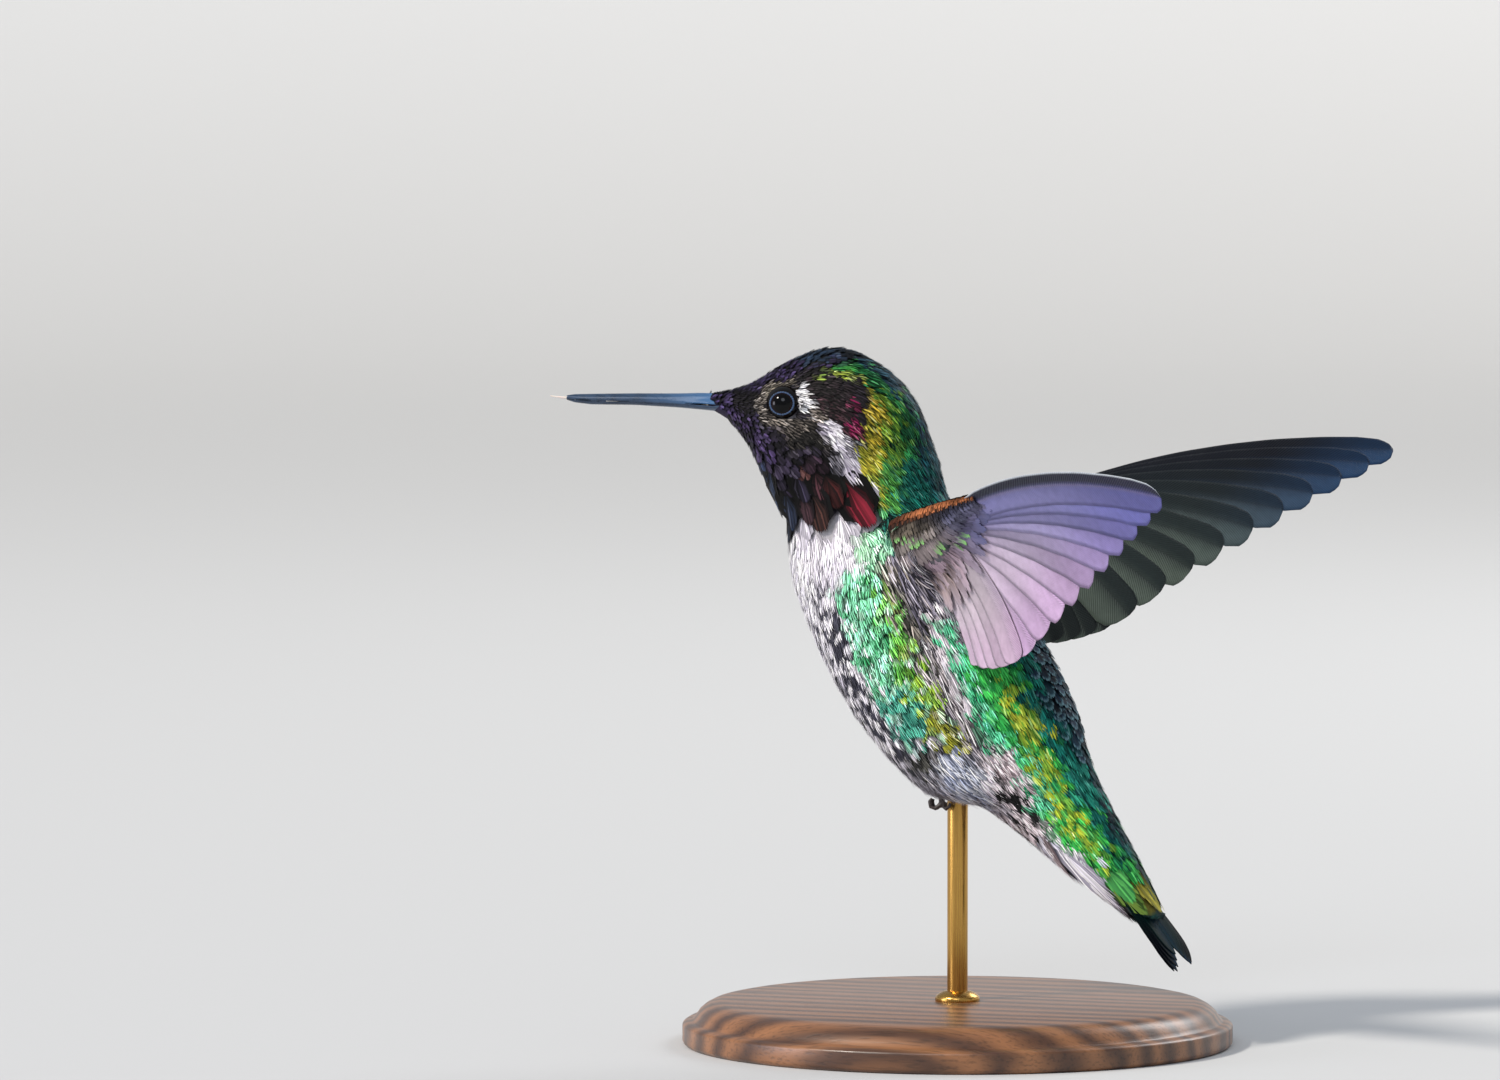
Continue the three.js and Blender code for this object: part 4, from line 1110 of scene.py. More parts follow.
# Flight feather keratin: close barbs at a slant on each side of the quill, a satin sheen.
def flightMaterial(name, barb, gleam, gloss):
    material, tree = newMaterial(name)
    dye = addNode(tree, "Attribute", attribute_name="plumage")
    web = addNode(tree, "UVMap", uv_map="web")
    parts = addNode(tree, "SeparateXYZ", None, [("Vector", web, "UV")])
    # the map runs in tenths of a millimetre; barbs lean about 40 degrees off the quill
    side = addNode(tree, "Math", None, [(0, parts, "X")], operation="ABSOLUTE")
    lean = addNode(tree, "Math", {1: 1.2}, [(0, side, "Value")], operation="MULTIPLY")
    slant = addNode(tree, "Math", None, [(0, parts, "Y"), (1, lean, "Value")], operation="SUBTRACT")
    fine = addNode(tree, "Math", {1: 2 * math.pi / barb}, [(0, slant, "Value")], operation="MULTIPLY")
    wave = addNode(tree, "Math", None, [(0, fine, "Value")], operation="SINE")
    blotch = addNode(tree, "TexNoise", {"Scale": 0.9, "Detail": 3.0}, [("Vector", web, "UV")])
    band = addNode(tree, "Math", {1: 0.11}, [(0, wave, "Value")], operation="MULTIPLY")
    uneven = addNode(tree, "MapRange", {"To Min": 0.78, "To Max": 1.22}, [("Value", blotch, "Fac")])
    light = addNode(tree, "Math", None, [(0, band, "Value"), (1, uneven, "Result")], operation="ADD")
    tone = addNode(tree, "VectorMath", None, [(0, dye, "Color"), (1, light, "Value")],
                   operation="MULTIPLY")
    bump = addNode(tree, "Bump", {"Strength": 0.35, "Distance": 0.00006}, [("Height", wave, "Value")])
    finishMaterial(tree, {"Roughness": 0.42, "IOR": 1.54, "Metallic": gleam, "Specular IOR Level": gloss},
                   [("Base Color", tone, "Vector"), ("Normal", bump, "Normal")])
    return material


# barbs are drawn 0.4 mm apart, four times their real spacing, so that they show
wingWeb = flightMaterial("flight_feather", 0.4, 0.05, 0.2)
tailWeb = flightMaterial("tail_feather", 0.4, 0, 0.02)


# whether a closed shape's faces look inwards
def facesInward(points, quads):
    a, b, c, d = (points[quads[:, k]] - points.mean(0) for k in range(4))
    return ((np.cross(a, b) * c).sum() + (np.cross(a, c) * d).sum()) < 0


def bladePiece(name, blades, place, look, material, slot, stands, overlap):
    points, faces, colours, web, bake, total = [], [], [], [], [], 0
    for number, (root, tip, bow, half, rank, widths) in enumerate(blades):
        length = float(np.linalg.norm(np.asarray(tip) - np.asarray(root)))
        u, reach, lift, c, top = bladeGrid(half, length, widths, overlap)
        flat = bentAlong(root, tip, bow, u, reach)
        rows, ring = u.shape
        spots = place(flat[..., 0], flat[..., 1], lift, rank).reshape(-1, 3)
        cap = np.stack([np.arange(12), np.arange(1, 13), ring - 2 - np.arange(12), ring - 1 - np.arange(12)], 1)
        quads = np.concatenate([loftFaces(rows, ring), cap[:, ::-1], cap + (rows - 1) * ring])
        if facesInward(spots, quads):
            quads = quads[:, ::-1]
        points.append(spots)
        faces.append(quads + total)
        rgb = look(u, c, np.full(u.shape, float(rank)), top) * dice.uniform(0.9, 1.1)
        colours.append(np.concatenate([np.clip(rgb, 0.002, 0.95), np.ones(u.shape + (1,))], -1).reshape(-1, 4))
        web.append(np.stack([reach, u * length], -1).reshape(-1, 2))
        strip = (number + 0.5 + 0.45 * (top - 0.5) + 0.2 * c) / len(blades)
        bake.append(np.stack([strip, 0.02 + 0.96 * u], -1).reshape(-1, 2))
        total += u.size
    piece = meshPiece(name, np.concatenate(points), np.concatenate(faces), np.concatenate(colours),
                      {"OFBake": np.concatenate(bake), "web": np.concatenate(web)})
    finishPiece(piece, material, slot, stands)


primaryWidths = ([0, 0.12, 0.35, 0.65, 0.9, 0.965, 0.99, 1], [0.5, 0.8, 0.95, 1.05, 1.05, 0.88, 0.55, 0.1])
secondaryWidths = ([0, 0.15, 0.4, 0.9, 0.965, 0.99, 1], [0.45, 0.85, 1.0, 1.05, 0.95, 0.65, 0.15])


def makeFlightFeathers():
    for name in sides:
        for row, look, widths in (("secondaries", secondaryLook, secondaryWidths),
                                  ("primaries", primaryLook, primaryWidths)):
            blades = [(root, tip, bow, half * 1.06, rank, widths) for root, tip, bow, half, rank, kind in quills
                      if kind == row]

            def place(s, t, lift, rank):
                return wingPlace(name, s, t, camberAt(t) + 0.25 - wing["layer"] * rank + lift)

            bladePiece(row + "_" + name + "_web", blades, place, look, wingWeb, "flight_feathers",
                       row + "_" + name, wing["overlap"])


makeFlightFeathers()
print("flight feathers made")


# the arm's surface in wing terms: height of the flesh or of the webs over each place
def armHeight(s, t, face):
    middle, chord, thick = (np.interp(s, armRows[:, 0], armRows[:, k]) for k in (1, 2, 3))
    body = thick * np.sqrt(np.maximum(1 - ((t - middle) / chord) ** 2, 0))
    return camberAt(t) + face * np.maximum(body, 0.32) + (0.2 if face < 0 else 0.25)


# rows: where on the arm (-1 front edge, 1 back edge), length, width, spacing, how far the feather
# turns from straight back towards its quill
coverts = {
    "rows": [(-0.985, 0.7, 0.9, 0.35, 0.3), (-0.94, 1.0, 1.0, 0.45, 0.4), (-0.84, 1.3, 0.9, 0.55, 0.5),
             (-0.70, 1.5, 0.9, 0.6, 0.55), (-0.56, 1.5, 0.6, 0.8, 0.6), (-0.40, 1.8, 1.3, 0.75, 0.7),
             (-0.15, 3.0, 1.7, 0.95, 0.8), (0.1, 3.9, 1.9, 1.1, 0.9), (0.36, 5.0, 2.2, 1.3, 1.0),
             (0.62, 6.2, 2.4, 1.5, 1.0)],
    "reach": 20.0, "rise": {-1: (0.14, 0.24), 1: (0.3, 0.42)}, "greenTip": "8cc878",
}


# colours of the coverts, s along the arm and x across it
def covertLook(s, x, face):
    if face > 0:
        rgb = dyed(hue("1c7046"), "1a4244", ease(-0.2, 0.6, x))
        rgb = dyed(rgb, "1e2a38", ease(6, 13, s) * 0.8)
        return dyed(rgb, "8a5a3c", (1 - ease(-0.97, -0.9, x)) * 0.7)
    rgb = dyed(hue("5a5248"), "847c7a", ease(-0.6, -0.3, x))
    rgb = dyed(rgb, "907c88", ease(-0.3, 0.2, x))
    rgb = dyed(rgb, "94827c", ease(0.1, 0.5, x) * (1 - ease(5, 9, s)))
    rgb = dyed(rgb, "464c70", ease(8, 13, s) * 0.75)
    rgb = dyed(rgb, "110f17", ease(4, 8, s) * (1 - ease(-0.75, -0.5, x)) * 0.8)
    rgb = rgb * (1 + 0.3 * np.sin(1.3 * s + 6 * x))[..., None]
    rgb = dyed(rgb, "20130f", 1 - ease(-0.93, -0.82, x))
    # the front edge is rusty
    return mix(rgb, dyed(hue("4a281a"), "b06c44", ease(2, 7, s)), (1 - ease(-0.985, -0.92, x))[..., None])


def growCoverts(name):
    roots = np.array([q[0] for q in quills])
    tips = np.array([q[1] for q in quills])
    aims = unit(tips - roots)
    for face, label in ((-1, "under"), (1, "upper")):
        plan = []
        for x, length, width, spacing, turn in coverts["rows"]:
            places = np.arange(0.6, coverts["reach"], spacing)
            for s in places + dice.normal(0, 0.08, len(places)):
                shrink = np.interp(s, [0, 12, 20], [1, 0.9, 0.6])
                plan.append((s, x + dice.normal(0, 0.02), length * shrink, width * shrink, turn))
        plan = np.array(plan)
        s, x, length, width, turn = plan.T
        middle, chord = (np.interp(s, armRows[:, 0], armRows[:, k]) for k in (1, 2))
        t = middle + chord * np.clip(x, -0.995, 0.99)
        quill = np.stack([np.interp(s, roots[:, 0], aims[:, k]) for k in (0, 1)], 1)
        way = unit(mix(np.array([0.35, 0.94]), quill, turn[:, None]) + dice.normal(0, 0.04, (len(s), 2)))
        step = np.linspace(0, 1, coat["steps"])[None] * length[:, None]
        ss, tt = s[:, None] + way[:, :1] * step, t[:, None] + way[:, 1:] * step
        spots = wingPlace(name, ss, tt, armHeight(ss, tt, face))
        gap = 0.05
        alongS = wingPlace(name, ss + gap, tt, armHeight(ss + gap, tt, face)) - spots
        alongT = wingPlace(name, ss, tt + gap, armHeight(ss, tt + gap, face)) - spots
        normals = unit(np.cross(alongS, alongT))
        normals *= np.sign((normals @ wingFrames[name][1][2]) * face + 1e-9)[..., None]
        dirs = unit(np.gradient(spots, axis=1))
        count = len(s)
        rise = dice.uniform(*coverts["rise"][face], count) * (1 - 0.35 * ease(-0.1, 0.3, x) * (face < 0))
        feathers = fanFeathers([spots, normals, dirs], length, width, rise,
                               kinds["covert"], 3, dice.normal(0, 0.04, (count, 1, 1)))
        share = feathers["share"]
        rgb = covertLook(s, x, face)[:, None] * feathers["shade"][..., None]
        # painted shade towards each covert's root, with a random tone per feather
        rgb = rgb * (dice.uniform(0.75, 1.25, count)[:, None] * (0.7 + 0.3 * ease(0.1, 0.6, share)))[..., None]
        run = feathers["run"]
        if face < 0:
            # the last rows fade into the wing, and a slanting line of coverts is tipped with green
            web = dyed(hue("b4a6b4"), "5c608c", ease(8, 13, s))[:, None]
            rgb = mix(rgb, web, (ease(0, 0.4, x)[:, None] * ease(0.3, 0.9, share) * 0.7)[..., None])
            tipped = (np.abs(x + 0.84 - 0.09 * s) < 0.10) & (s > 0.8) & (s < 13)
            rgb = dyed(rgb, coverts["greenTip"], tipped[:, None] * ease(0.68, 0.84, share) * (run > 0.45))
            run = run - np.where(x < -0.9, 0.4, 0.1)[:, None]
        # painted shade along each covert's tip, fainter on the under side
        edge = 0.5 if face > 0 else 0.25
        rgb = rgb * (1 - edge * ease(0.9, 1.0, run))[..., None]
        gloss = (0.45 if face > 0 else 0.15) * np.ones_like(share)
        flap = 0.82 if name == "left" else 0.91
        centre = np.stack([0.02 + 0.9 * s / 22, flap + 0.03 * face + 0.025 * x], -1)
        coatPiece("coat_wing_" + label + "_" + name, [(feathers, rgb, gloss, centre)])


for name in sides:
    growCoverts(name)


# tail
tail = {"drop": 0.1, "bend": 0.8, "length": 24, "bank": 0.13, "tuck": -0.12,
        "feathers": [(22.2, 0.6, 0.5, 1.7), (22.9, 1.1, 0.9, 1.7), (23.6, 1.6, 1.3, 1.6), (24.0, 2.2, 1.7, 1.5),
                     (23.8, 2.8, 2.1, 1.3)]}
tailWidths = ([0, 0.4, 0.7, 0.86, 0.93, 0.97, 1], [0.6, 0.85, 1.0, 0.95, 0.7, 0.4, 0.05])


def tailPlace(s, t, lift, rank):
    (rootX, rootZ), (ax, az) = tailLine["root"], tailLine["axis"]
    side = 1 if rank == int(rank) else -1
    part = s / tail["length"]
    up = lift - tail["drop"] * (t / 4) ** 2 - tail["bend"] * part ** 4 - 0.07 * rank
    up = up + tail["bank"] * t * side * part
    return np.stack([rootX + ax * s - az * up, t * side, rootZ + az * s + ax * up], -1)


def makeTail():
    blades = []
    for rank, (reach, tip, root, half) in enumerate(tail["feathers"]):
        for side in (1, -1):  # a half rank marks the left one of a pair
            place = rank + (0.5 if side < 0 else 0)
            blades.append(((6.0, root), (reach, tip), -0.35, half * 0.95, place, tailWidths))
    # each inner edge lies under its neighbour
    bladePiece("tail_web", blades, tailPlace, tailLook, tailWeb, "tail_feathers", "tail", tail["tuck"])


makeTail()
print("tail made")


# bill
# rings: x, z, half height and half width
bill = {"rows": [(-25.6, 74.2, 1.15, 1.3), (-27.0, 74.45, 1.12, 1.15), (-30.15, 74.65, 0.98, 1.02),
                 (-33, 74.75, 0.82, 0.88), (-38, 74.9, 0.68, 0.72), (-43, 74.9, 0.62, 0.6),
                 (-45, 75.0, 0.48, 0.45), (-45.9, 75.1, 0.25, 0.25)],
        "gape": ((-45, 74.85), (-30, 74.3)), "sides": 28, "flare": 0.75}


# draws a solid out ring by ring from a filled circle: centre in mm, half width in y and half height in z
def drawOut(name, rings, sides):
    x, z, tall, half = rings[0]
    piece = startCircle(name, sides, mm, (x * mm, 0, z * mm), (0, math.pi / 2, 0))
    bpy.ops.transform.resize(value=(1, half, tall), center_override=(x * mm, 0, z * mm))
    for (x0, z0, tall0, half0), (x1, z1, tall1, half1) in zip(rings[:-1], rings[1:]):
        extrudeTo(((x1 - x0) * mm, 0, (z1 - z0) * mm), (1, half1 / half0, tall1 / tall0), (x1 * mm, 0, z1 * mm))
    closeShape()
    return piece


def finer(rows, steps):
    rows = np.array(rows)
    spots = np.linspace(0, len(rows) - 1, steps)
    return [tuple(np.interp(t, range(len(rows)), rows[:, k]) for k in range(4)) for t in spots]


def cutAway(piece, spot, normal):
    selectOnly(piece)
    bpy.ops.object.mode_set(mode="EDIT")
    bpy.ops.mesh.select_all(action="SELECT")
    bpy.ops.mesh.bisect(plane_co=spot, plane_no=normal, use_fill=True, clear_outer=True)
    bpy.ops.object.mode_set(mode="OBJECT")


def movePoints(piece, change):
    points = np.empty(len(piece.data.vertices) * 3)
    piece.data.vertices.foreach_get("co", points)
    points = change(points.reshape(-1, 3) / mm) * mm
    piece.data.vertices.foreach_set("co", points.astype(np.float32).ravel())
    piece.data.update()


# Horn sheath of the bill: smooth and dark with a low polish, a faint lengthwise grain, and a painted blue
# highlight near its base.
def hornMaterial(name, pale):
    material, tree = newMaterial(name)
    place = addNode(tree, "TexCoord")
    run = addNode(tree, "Mapping", {"Scale": (300.0, 2600.0, 2600.0)}, [("Vector", place, "Object")])
    grain = addNode(tree, "TexNoise", {"Scale": 1.0, "Detail": 4.0}, [("Vector", run, "Vector")])
    tone = addNode(tree, "Mix", {"A": rgba("0c121c"), "B": rgba("3a5474")},
                   [("Factor", grain, "Fac")], data_type="RGBA")
    # a painted blue highlight, stronger towards the feathers
    parts = addNode(tree, "SeparateXYZ", None, [("Vector", place, "Object")])
    base = addNode(tree, "MapRange", {"From Min": -0.036, "From Max": -0.028, "To Max": pale},
                   [("Value", parts, "X")])
    tone = addNode(tree, "Mix", {"B": rgba("4a78aa")},
                   [("Factor", base, "Result"), ("A", tone, "Result")], data_type="RGBA")
    rough = addNode(tree, "MapRange", {"To Min": 0.22, "To Max": 0.34}, [("Value", grain, "Fac")])
    bump = addNode(tree, "Bump", {"Strength": 0.25, "Distance": 0.00005}, [("Height", grain, "Fac")])
    finishMaterial(tree, {"IOR": 1.56}, [("Base Color", tone, "Result"), ("Roughness", rough, "Result"),
                                         ("Normal", bump, "Normal")])
    return material


def makeBill():
    (x0, z0), (x1, z1) = bill["gape"]
    normal = unit(np.array([-(z1 - z0), 0, x1 - x0]))
    # the painted blue highlight is strong on the upper half and faint on the lower
    for name, face, pale in (("bill_upper", 1, 0.6), ("bill_lower", -1, 0.1)):
        horn = hornMaterial(name + "_keratin", pale)
        shell = drawOut(name + "_horn", finer(bill["rows"], 40), bill["sides"])
        spot = Vector((x0 * mm, 0, (z0 + face * 0.05) * mm))
        cutAway(shell, spot, Vector(-normal * face))
        selectOnly(shell)

        # the lower half lies a little inside the upper and flares at its base; the upper has a nostril
        # groove along each side
        def shape(p):
            near = ease(-37, -31, p[:, 0])
            groove = 1 - 0.16 * near * np.exp(-((p[:, 2] - 74.95) / 0.28) ** 2)
            flare = 0.93 + bill["flare"] * ease(-31, -26.5, p[:, 0])
            # the wedge of feathers lies over the middle of the base
            wedge = 1 - np.exp(-((p[:, 2] - 75.15) / 0.45) ** 2)
            groove = groove * (1 + 0.25 * ease(-31.5, -28.5, p[:, 0]) * wedge)
            return p * np.stack([np.ones(len(p)), flare if face < 0 else groove, np.ones(len(p))], 1)

        movePoints(shell, shape)
        applyModifier(shell, "BEVEL", width=0.00006, segments=2, limit_method="ANGLE")
        movePoints(shell, turned)
        shadeSmooth(shell, 50)
        finishPiece(shell, horn, "bill", name)


makeBill()
print("bill made")


# tongue: a moist pale thread
tongue = {"length": 1.6, "rise": math.radians(6), "radius": 0.14}


def makeTongue():
    start = np.array([-45.4, 75.05])
    rings = []
    for step in range(9):
        u = step / 8
        reach = 0.5 + tongue["length"] + 0.3
        x = start[0] - reach * u * math.cos(tongue["rise"])
        z = start[1] + reach * u * math.sin(tongue["rise"]) * u
        size = tongue["radius"] * (1 - 0.65 * u ** 3)
        rings.append((x, z, size, size))
    piece = drawOut("tongue_thread", rings, 10)
    movePoints(piece, turned)
    shadeSmooth(piece, 60)
    material, tree = newMaterial("moist_tongue")
    finishMaterial(tree, {"Base Color": rgba("e2d6cc"), "Roughness": 0.25, "IOR": 1.4,
                          "Subsurface Weight": 0.2, "Subsurface Radius": (0.0004, 0.0002, 0.0001)}, [])
    finishPiece(piece, material, "tongue", "tongue")


makeTongue()


# eyes
eyeLook = {"gaze": (-0.16, 0.95, 0.10), "pupil": 1.05, "iris": 1.5, "lid": 1.34, "lidThick": 0.09, "beads": 30}


def eyeAxis(side):
    x, y, z = eyeLook["gaze"]
    return unit(swing(np.array([x, y * side, z]), neck["turn"]))


# Cornea over a dark brown iris: wet and mirror smooth.
def eyeMaterial():
    material, tree = newMaterial("wet_cornea")
    dye = addNode(tree, "Attribute", attribute_name="plumage")
    finishMaterial(tree, {"Roughness": 0.03, "IOR": 1.376, "Specular IOR Level": 0.3},
                   [("Base Color", dye, "Color")])
    return material


# Bare lid: dark bluish skin in a ring of tiny beads.
def lidMaterial():
    material, tree = newMaterial("eyelid_skin")
    place = addNode(tree, "TexCoord")
    grain = addNode(tree, "TexNoise", {"Scale": 4000.0, "Detail": 2.0}, [("Vector", place, "Object")])
    tone = addNode(tree, "Mix", {"A": rgba("0a101a"), "B": rgba("44628c")},
                   [("Factor", grain, "Fac")], data_type="RGBA")
    finishMaterial(tree, {"Roughness": 0.45, "IOR": 1.4}, [("Base Color", tone, "Result")])
    return material


def makeEyes():
    cornea, lidSkin = eyeMaterial(), lidMaterial()
    for name, side in (("left", -1), ("right", 1)):
        centre, axis = eyePlace(side), eyeAxis(side)
        bpy.ops.object.select_all(action="DESELECT")
        bpy.ops.mesh.primitive_uv_sphere_add(segments=64, ring_count=40, radius=eyes["radius"] * mm,
                                             location=(0, 0, 0))
        ball = bpy.context.object
        ball.name = ball.data.name = "eyeball_" + name
        turnTo = np.array(Vector(axis).to_track_quat("Z", "Y").to_matrix())

        def bulge(p):
            high = p[:, 2] / eyes["radius"]
            p = p * (1 + 0.05 * ease(0.75, 0.98, high))[:, None]
            return p @ turnTo.T + centre

        movePoints(ball, bulge)
        points, tris = meshArrays(ball)
        gap = points - centre
        off = np.linalg.norm(gap - (gap @ axis)[:, None] * axis, axis=1)
        rgb = mix(hue("020203"), hue("1a0a08"),
                  ease(eyeLook["pupil"], eyeLook["pupil"] + 0.12, off)[:, None])
        rgb = mix(rgb, hue("0a0808"), ease(eyeLook["iris"] - 0.25, eyeLook["iris"], off)[:, None])
        dyePoints(ball.data, np.concatenate([rgb, np.ones((len(rgb), 1))], 1))
        shadeSmooth(ball, 80)
        finishPiece(ball, cornea, "eye", "eye_" + name)
        bpy.ops.object.select_all(action="DESELECT")
        bpy.ops.mesh.primitive_torus_add(major_segments=120, minor_segments=14,
                                         major_radius=eyeLook["lid"] * mm,
                                         minor_radius=eyeLook["lidThick"] * mm, location=(0, 0, 0))
        lid = bpy.context.object
        lid.name = lid.data.name = "eyelid_" + name
        seatHeight = math.sqrt(eyes["radius"] ** 2 - eyeLook["lid"] ** 2) + 0.08

        def bead(p):
            angle = np.arctan2(p[:, 1], p[:, 0])
            ringPoint = np.stack([np.cos(angle), np.sin(angle), np.zeros(len(p))], 1) * eyeLook["lid"]
            swell = 1 + 0.35 * np.cos(angle * eyeLook["beads"])
            out = ringPoint + (p - ringPoint) * np.stack([swell * 1.15, swell * 1.15, swell], 1)
            # the lids narrow the opening a little above and below
            out = out * np.array([1.03, 0.96, 1.0])
            out[:, 2] += seatHeight
            return out @ turnTo.T + centre

        movePoints(lid, bead)
        shadeSmooth(lid, 80)
        finishPiece(lid, lidSkin, "eye")


makeEyes()
print("eyes made")


# Scaly skin of toes and dark claws.
def makeFeet():
    material, tree = newMaterial("toe_skin")
    place = addNode(tree, "TexCoord")
    scales = addNode(tree, "TexVoronoi", {"Scale": 3200.0}, [("Vector", place, "Object")])
    tone = addNode(tree, "Mix", {"A": rgba("1c1817"), "B": rgba("4a4140")},
                   [("Factor", scales, "Distance")], data_type="RGBA")
    bump = addNode(tree, "Bump", {"Strength": 0.5, "Distance": 0.00008}, [("Height", scales, "Distance")])
    finishMaterial(tree, {"Roughness": 0.5, "IOR": 1.45},
                   [("Base Color", tone, "Result"), ("Normal", bump, "Normal")])
    for name in ("left", "right"):
        foot = mergedCopy("foot_" + name + "_skin", "foot_" + name)
        applyModifier(foot, "REMESH", mode="VOXEL", voxel_size=0.00009)
        applyModifier(foot, "SMOOTH", factor=0.5, iterations=4)
        shadeSmooth(foot, 80)
        finishPiece(foot, material, "foot", "foot_" + name)


makeFeet()


# stand
stand = {"radius": 32.0, "thick": 5.0, "rodRadius": 1.2, "rodTop": 33.5, "seat": 1.2, "collar": 2.6}


# Walnut, turned on a lathe and waxed: long grain, fine pores, a low gloss.
def walnutMaterial():
    material, tree = newMaterial("waxed_walnut")
    place = addNode(tree, "TexCoord")
    grain = addNode(tree, "Mapping", {"Scale": (22.0, 160.0, 160.0), "Rotation": (0, 0, 0.2)},
                    [("Vector", place, "Object")])
    wander = addNode(tree, "TexNoise", {"Scale": 0.6, "Detail": 3.0}, [("Vector", grain, "Vector")])
    rings = addNode(tree, "TexWave", {"Scale": 0.5, "Distortion": 6.0, "Detail": 3.0, "Detail Scale": 1.2},
                    [("Vector", grain, "Vector")], bands_direction="Y")
    poreRun = addNode(tree, "Mapping", {"Scale": (250.0, 3500.0, 3500.0), "Rotation": (0, 0, 0.2)},
                      [("Vector", place, "Object")])
    pores = addNode(tree, "TexNoise", {"Scale": 1.0, "Detail": 2.0}, [("Vector", poreRun, "Vector")])
    pits = addNode(tree, "MapRange", {"From Min": 0.3, "From Max": 0.5, "To Min": 0.6, "To Max": 1.0},
                   [("Value", pores, "Fac")])
    figure = addNode(tree, "Mix", {"A": rgba("4a2f1f"), "B": rgba("8a5d3b")},
                     [("Factor", rings, "Fac")], data_type="RGBA")
    cloud = addNode(tree, "MapRange", {"To Min": 0.7, "To Max": 1.25}, [("Value", wander, "Fac")])
    shade = addNode(tree, "Math", None, [(0, pits, "Result"), (1, cloud, "Result")], operation="MULTIPLY")
    tone = addNode(tree, "VectorMath", None, [(0, figure, "Result"), (1, shade, "Value")],
                   operation="MULTIPLY")
    bump = addNode(tree, "Bump", {"Strength": 0.2, "Distance": 0.0001}, [("Height", pits, "Result")])
    finishMaterial(tree, {"Roughness": 0.38, "IOR": 1.5, "Coat Weight": 0.25, "Coat Roughness": 0.25},
                   [("Base Color", tone, "Vector"), ("Normal", bump, "Normal")])
    return material


# Brass rod, drawn and lacquered: fine lengthwise lines.
def brassMaterial():
    material, tree = newMaterial("lacquered_brass")
    place = addNode(tree, "TexCoord")
    run = addNode(tree, "Mapping", {"Scale": (9000.0, 9000.0, 150.0)}, [("Vector", place, "Object")])
    lines = addNode(tree, "TexNoise", {"Scale": 1.0, "Detail": 2.0}, [("Vector", run, "Vector")])
    rough = addNode(tree, "MapRange", {"To Min": 0.18, "To Max": 0.36}, [("Value", lines, "Fac")])
    tone = addNode(tree, "Mix", {"A": rgba("a87f3c"), "B": rgba("cfa45a")},
                   [("Factor", lines, "Fac")], data_type="RGBA")
    finishMaterial(tree, {"Metallic": 1.0}, [("Base Color", tone, "Result"), ("Roughness", rough, "Result")])
    return material


def turnOnLathe(name, profile, sides, material, slot, *nodes):
    radius, z = profile[0]
    piece = startCircle(name, sides, radius * mm, (0, 0, z * mm))
    for (r0, z0), (r1, z1) in zip(profile[:-1], profile[1:]):
        extrudeTo((0, 0, (z1 - z0) * mm), (r1 / r0, r1 / r0, 1), (0, 0, z1 * mm))
    closeShape()
    applyModifier(piece, "BEVEL", width=0.0002, segments=3, limit_method="ANGLE", angle_limit=math.radians(25))
    shadeSmooth(piece, 35)
    finishPiece(piece, material, slot, *nodes)


def makeStand():
    wood, brass = walnutMaterial(), brassMaterial()
    r, h = stand["radius"], stand["thick"]
    turnOnLathe("stand_foot", [(r - 0.4, 0), (r, 0.4), (r, h - 2.6), (r - 0.5, h - 2.3), (r - 1.2, h - 2.2),
                               (r - 1.6, h - 1.7), (r - 2.0, h - 1.1), (r - 2.6, h - 0.6), (r - 3.4, h - 0.2),
                               (r - 4.4, h)], 160, wood, "wood", "stand_base")
    turnOnLathe("stand_bar", [(stand["rodRadius"], stand["seat"]), (stand["rodRadius"], stand["rodTop"] - 0.3),
                              (stand["rodRadius"] - 0.3, stand["rodTop"])], 48, brass, "brass", "stand_rod")
    c = stand["collar"]
    turnOnLathe("stand_collar", [(c, h - 0.1), (c, h + 0.5), (c - 0.5, h + 0.9),
                                 (stand["rodRadius"] + 0.3, h + 1.2)], 48, brass, "brass")


makeStand()
print("stand made")


# floor and lights
backdrop = {"flat": 2.2, "bend": 0.8, "steps": 10, "tint": "c3c5c7"}


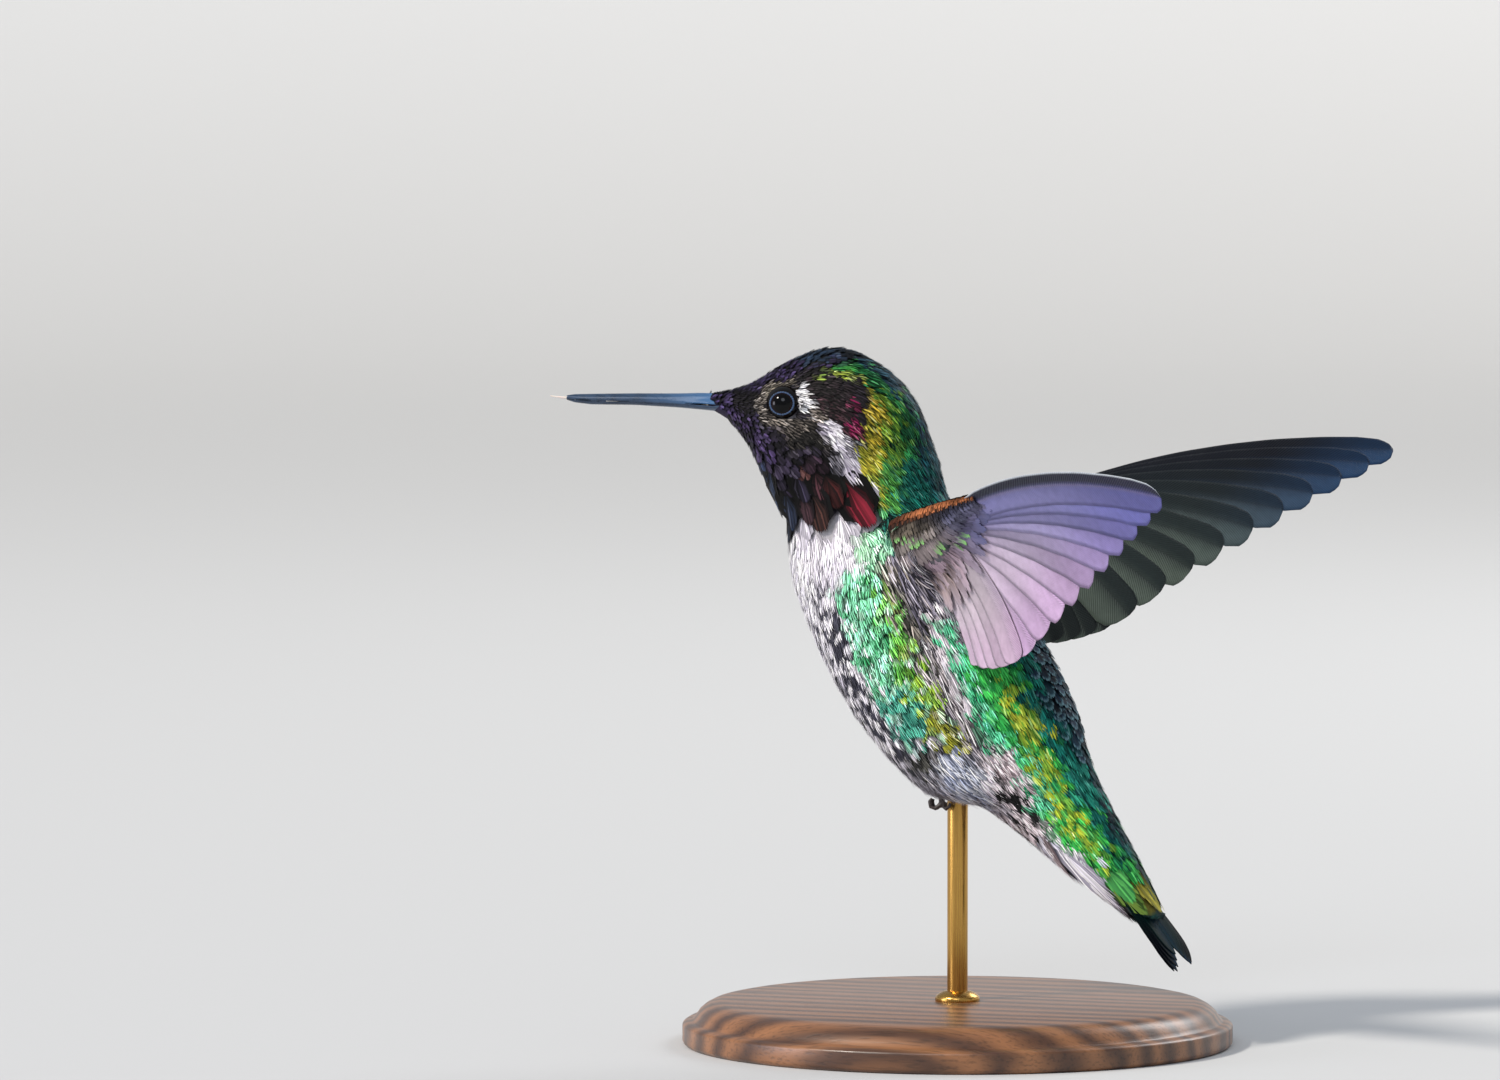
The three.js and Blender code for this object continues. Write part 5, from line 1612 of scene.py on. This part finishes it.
# a round paper sweep: a flat floor that curves up far behind everything
def layFloor():
    floor = startCircle("floor", 128, backdrop["flat"], (0, 0, 0))
    radius, height = backdrop["flat"], 0.0
    for step in range(backdrop["steps"]):
        angle = math.pi / 2 * (step + 1) / backdrop["steps"]
        wide = backdrop["flat"] + backdrop["bend"] * math.sin(angle)
        high = backdrop["bend"] * (1 - math.cos(angle))
        extrudeTo((0, 0, high - height), (wide / radius, wide / radius, 1), (0, 0, high))
        radius, height = wide, high
    bpy.ops.mesh.delete(type="ONLY_FACE")
    bpy.ops.object.mode_set(mode="OBJECT")
    shadeSmooth(floor, 60)
    material, tree = newMaterial("paper_sweep")
    # the paper glows a little where it rises, as if lit from behind
    place = addNode(tree, "TexCoord")
    parts = addNode(tree, "SeparateXYZ", None, [("Vector", place, "Object")])
    high = addNode(tree, "MapRange", {"From Min": 0.005, "From Max": 0.2}, [("Value", parts, "Z")])
    glow = addNode(tree, "Mix", {"A": [0, 0, 0, 1], "B": rgba(backdrop["tint"])},
                   [("Factor", high, "Result")], data_type="RGBA")
    finishMaterial(tree, {"Base Color": rgba(backdrop["tint"]), "Roughness": 0.95, "Emission Strength": 0.3},
                   [("Emission Color", glow, "Result")])
    floor.data.materials.append(material)


def addLamp(kind, name, place, power, colour, **shape):
    bpy.ops.object.light_add(type=kind, location=place)
    lamp = bpy.context.object
    lamp.name = name
    lamp.data.energy = power
    lamp.data.color = toLinear(colour)
    for key, value in shape.items():
        setattr(lamp.data, key, value)
    lamp.rotation_euler = (Vector((0, 0, 0.05)) - Vector(place)).to_track_quat("-Z", "Y").to_euler()


def lightStudio():
    addLamp("SUN", "key", (-0.9, -1.1, 1.35), 3.0, "fff6ea", angle=math.radians(8))
    addLamp("AREA", "fill", (0.15, -1.1, 0.75), 3, "eef4ff", shape="DISK", size=0.5)
    addLamp("AREA", "rim", (0.4, 0.9, 0.7), 4, "ffffff", shape="DISK", size=0.5)
    addLamp("AREA", "low", (-1.3, -0.8, 0.2), 8, "f4f2ff", shape="DISK", size=0.6)
    bpy.context.scene.view_settings.view_transform = "Standard"
    world = bpy.data.worlds.new("studio")
    bpy.context.scene.world = world
    world.use_nodes = True
    background = world.node_tree.nodes["Background"]
    background.inputs["Color"].default_value = rgba("e4eaf2")
    background.inputs["Strength"].default_value = 0.5


layFloor()
lightStudio()
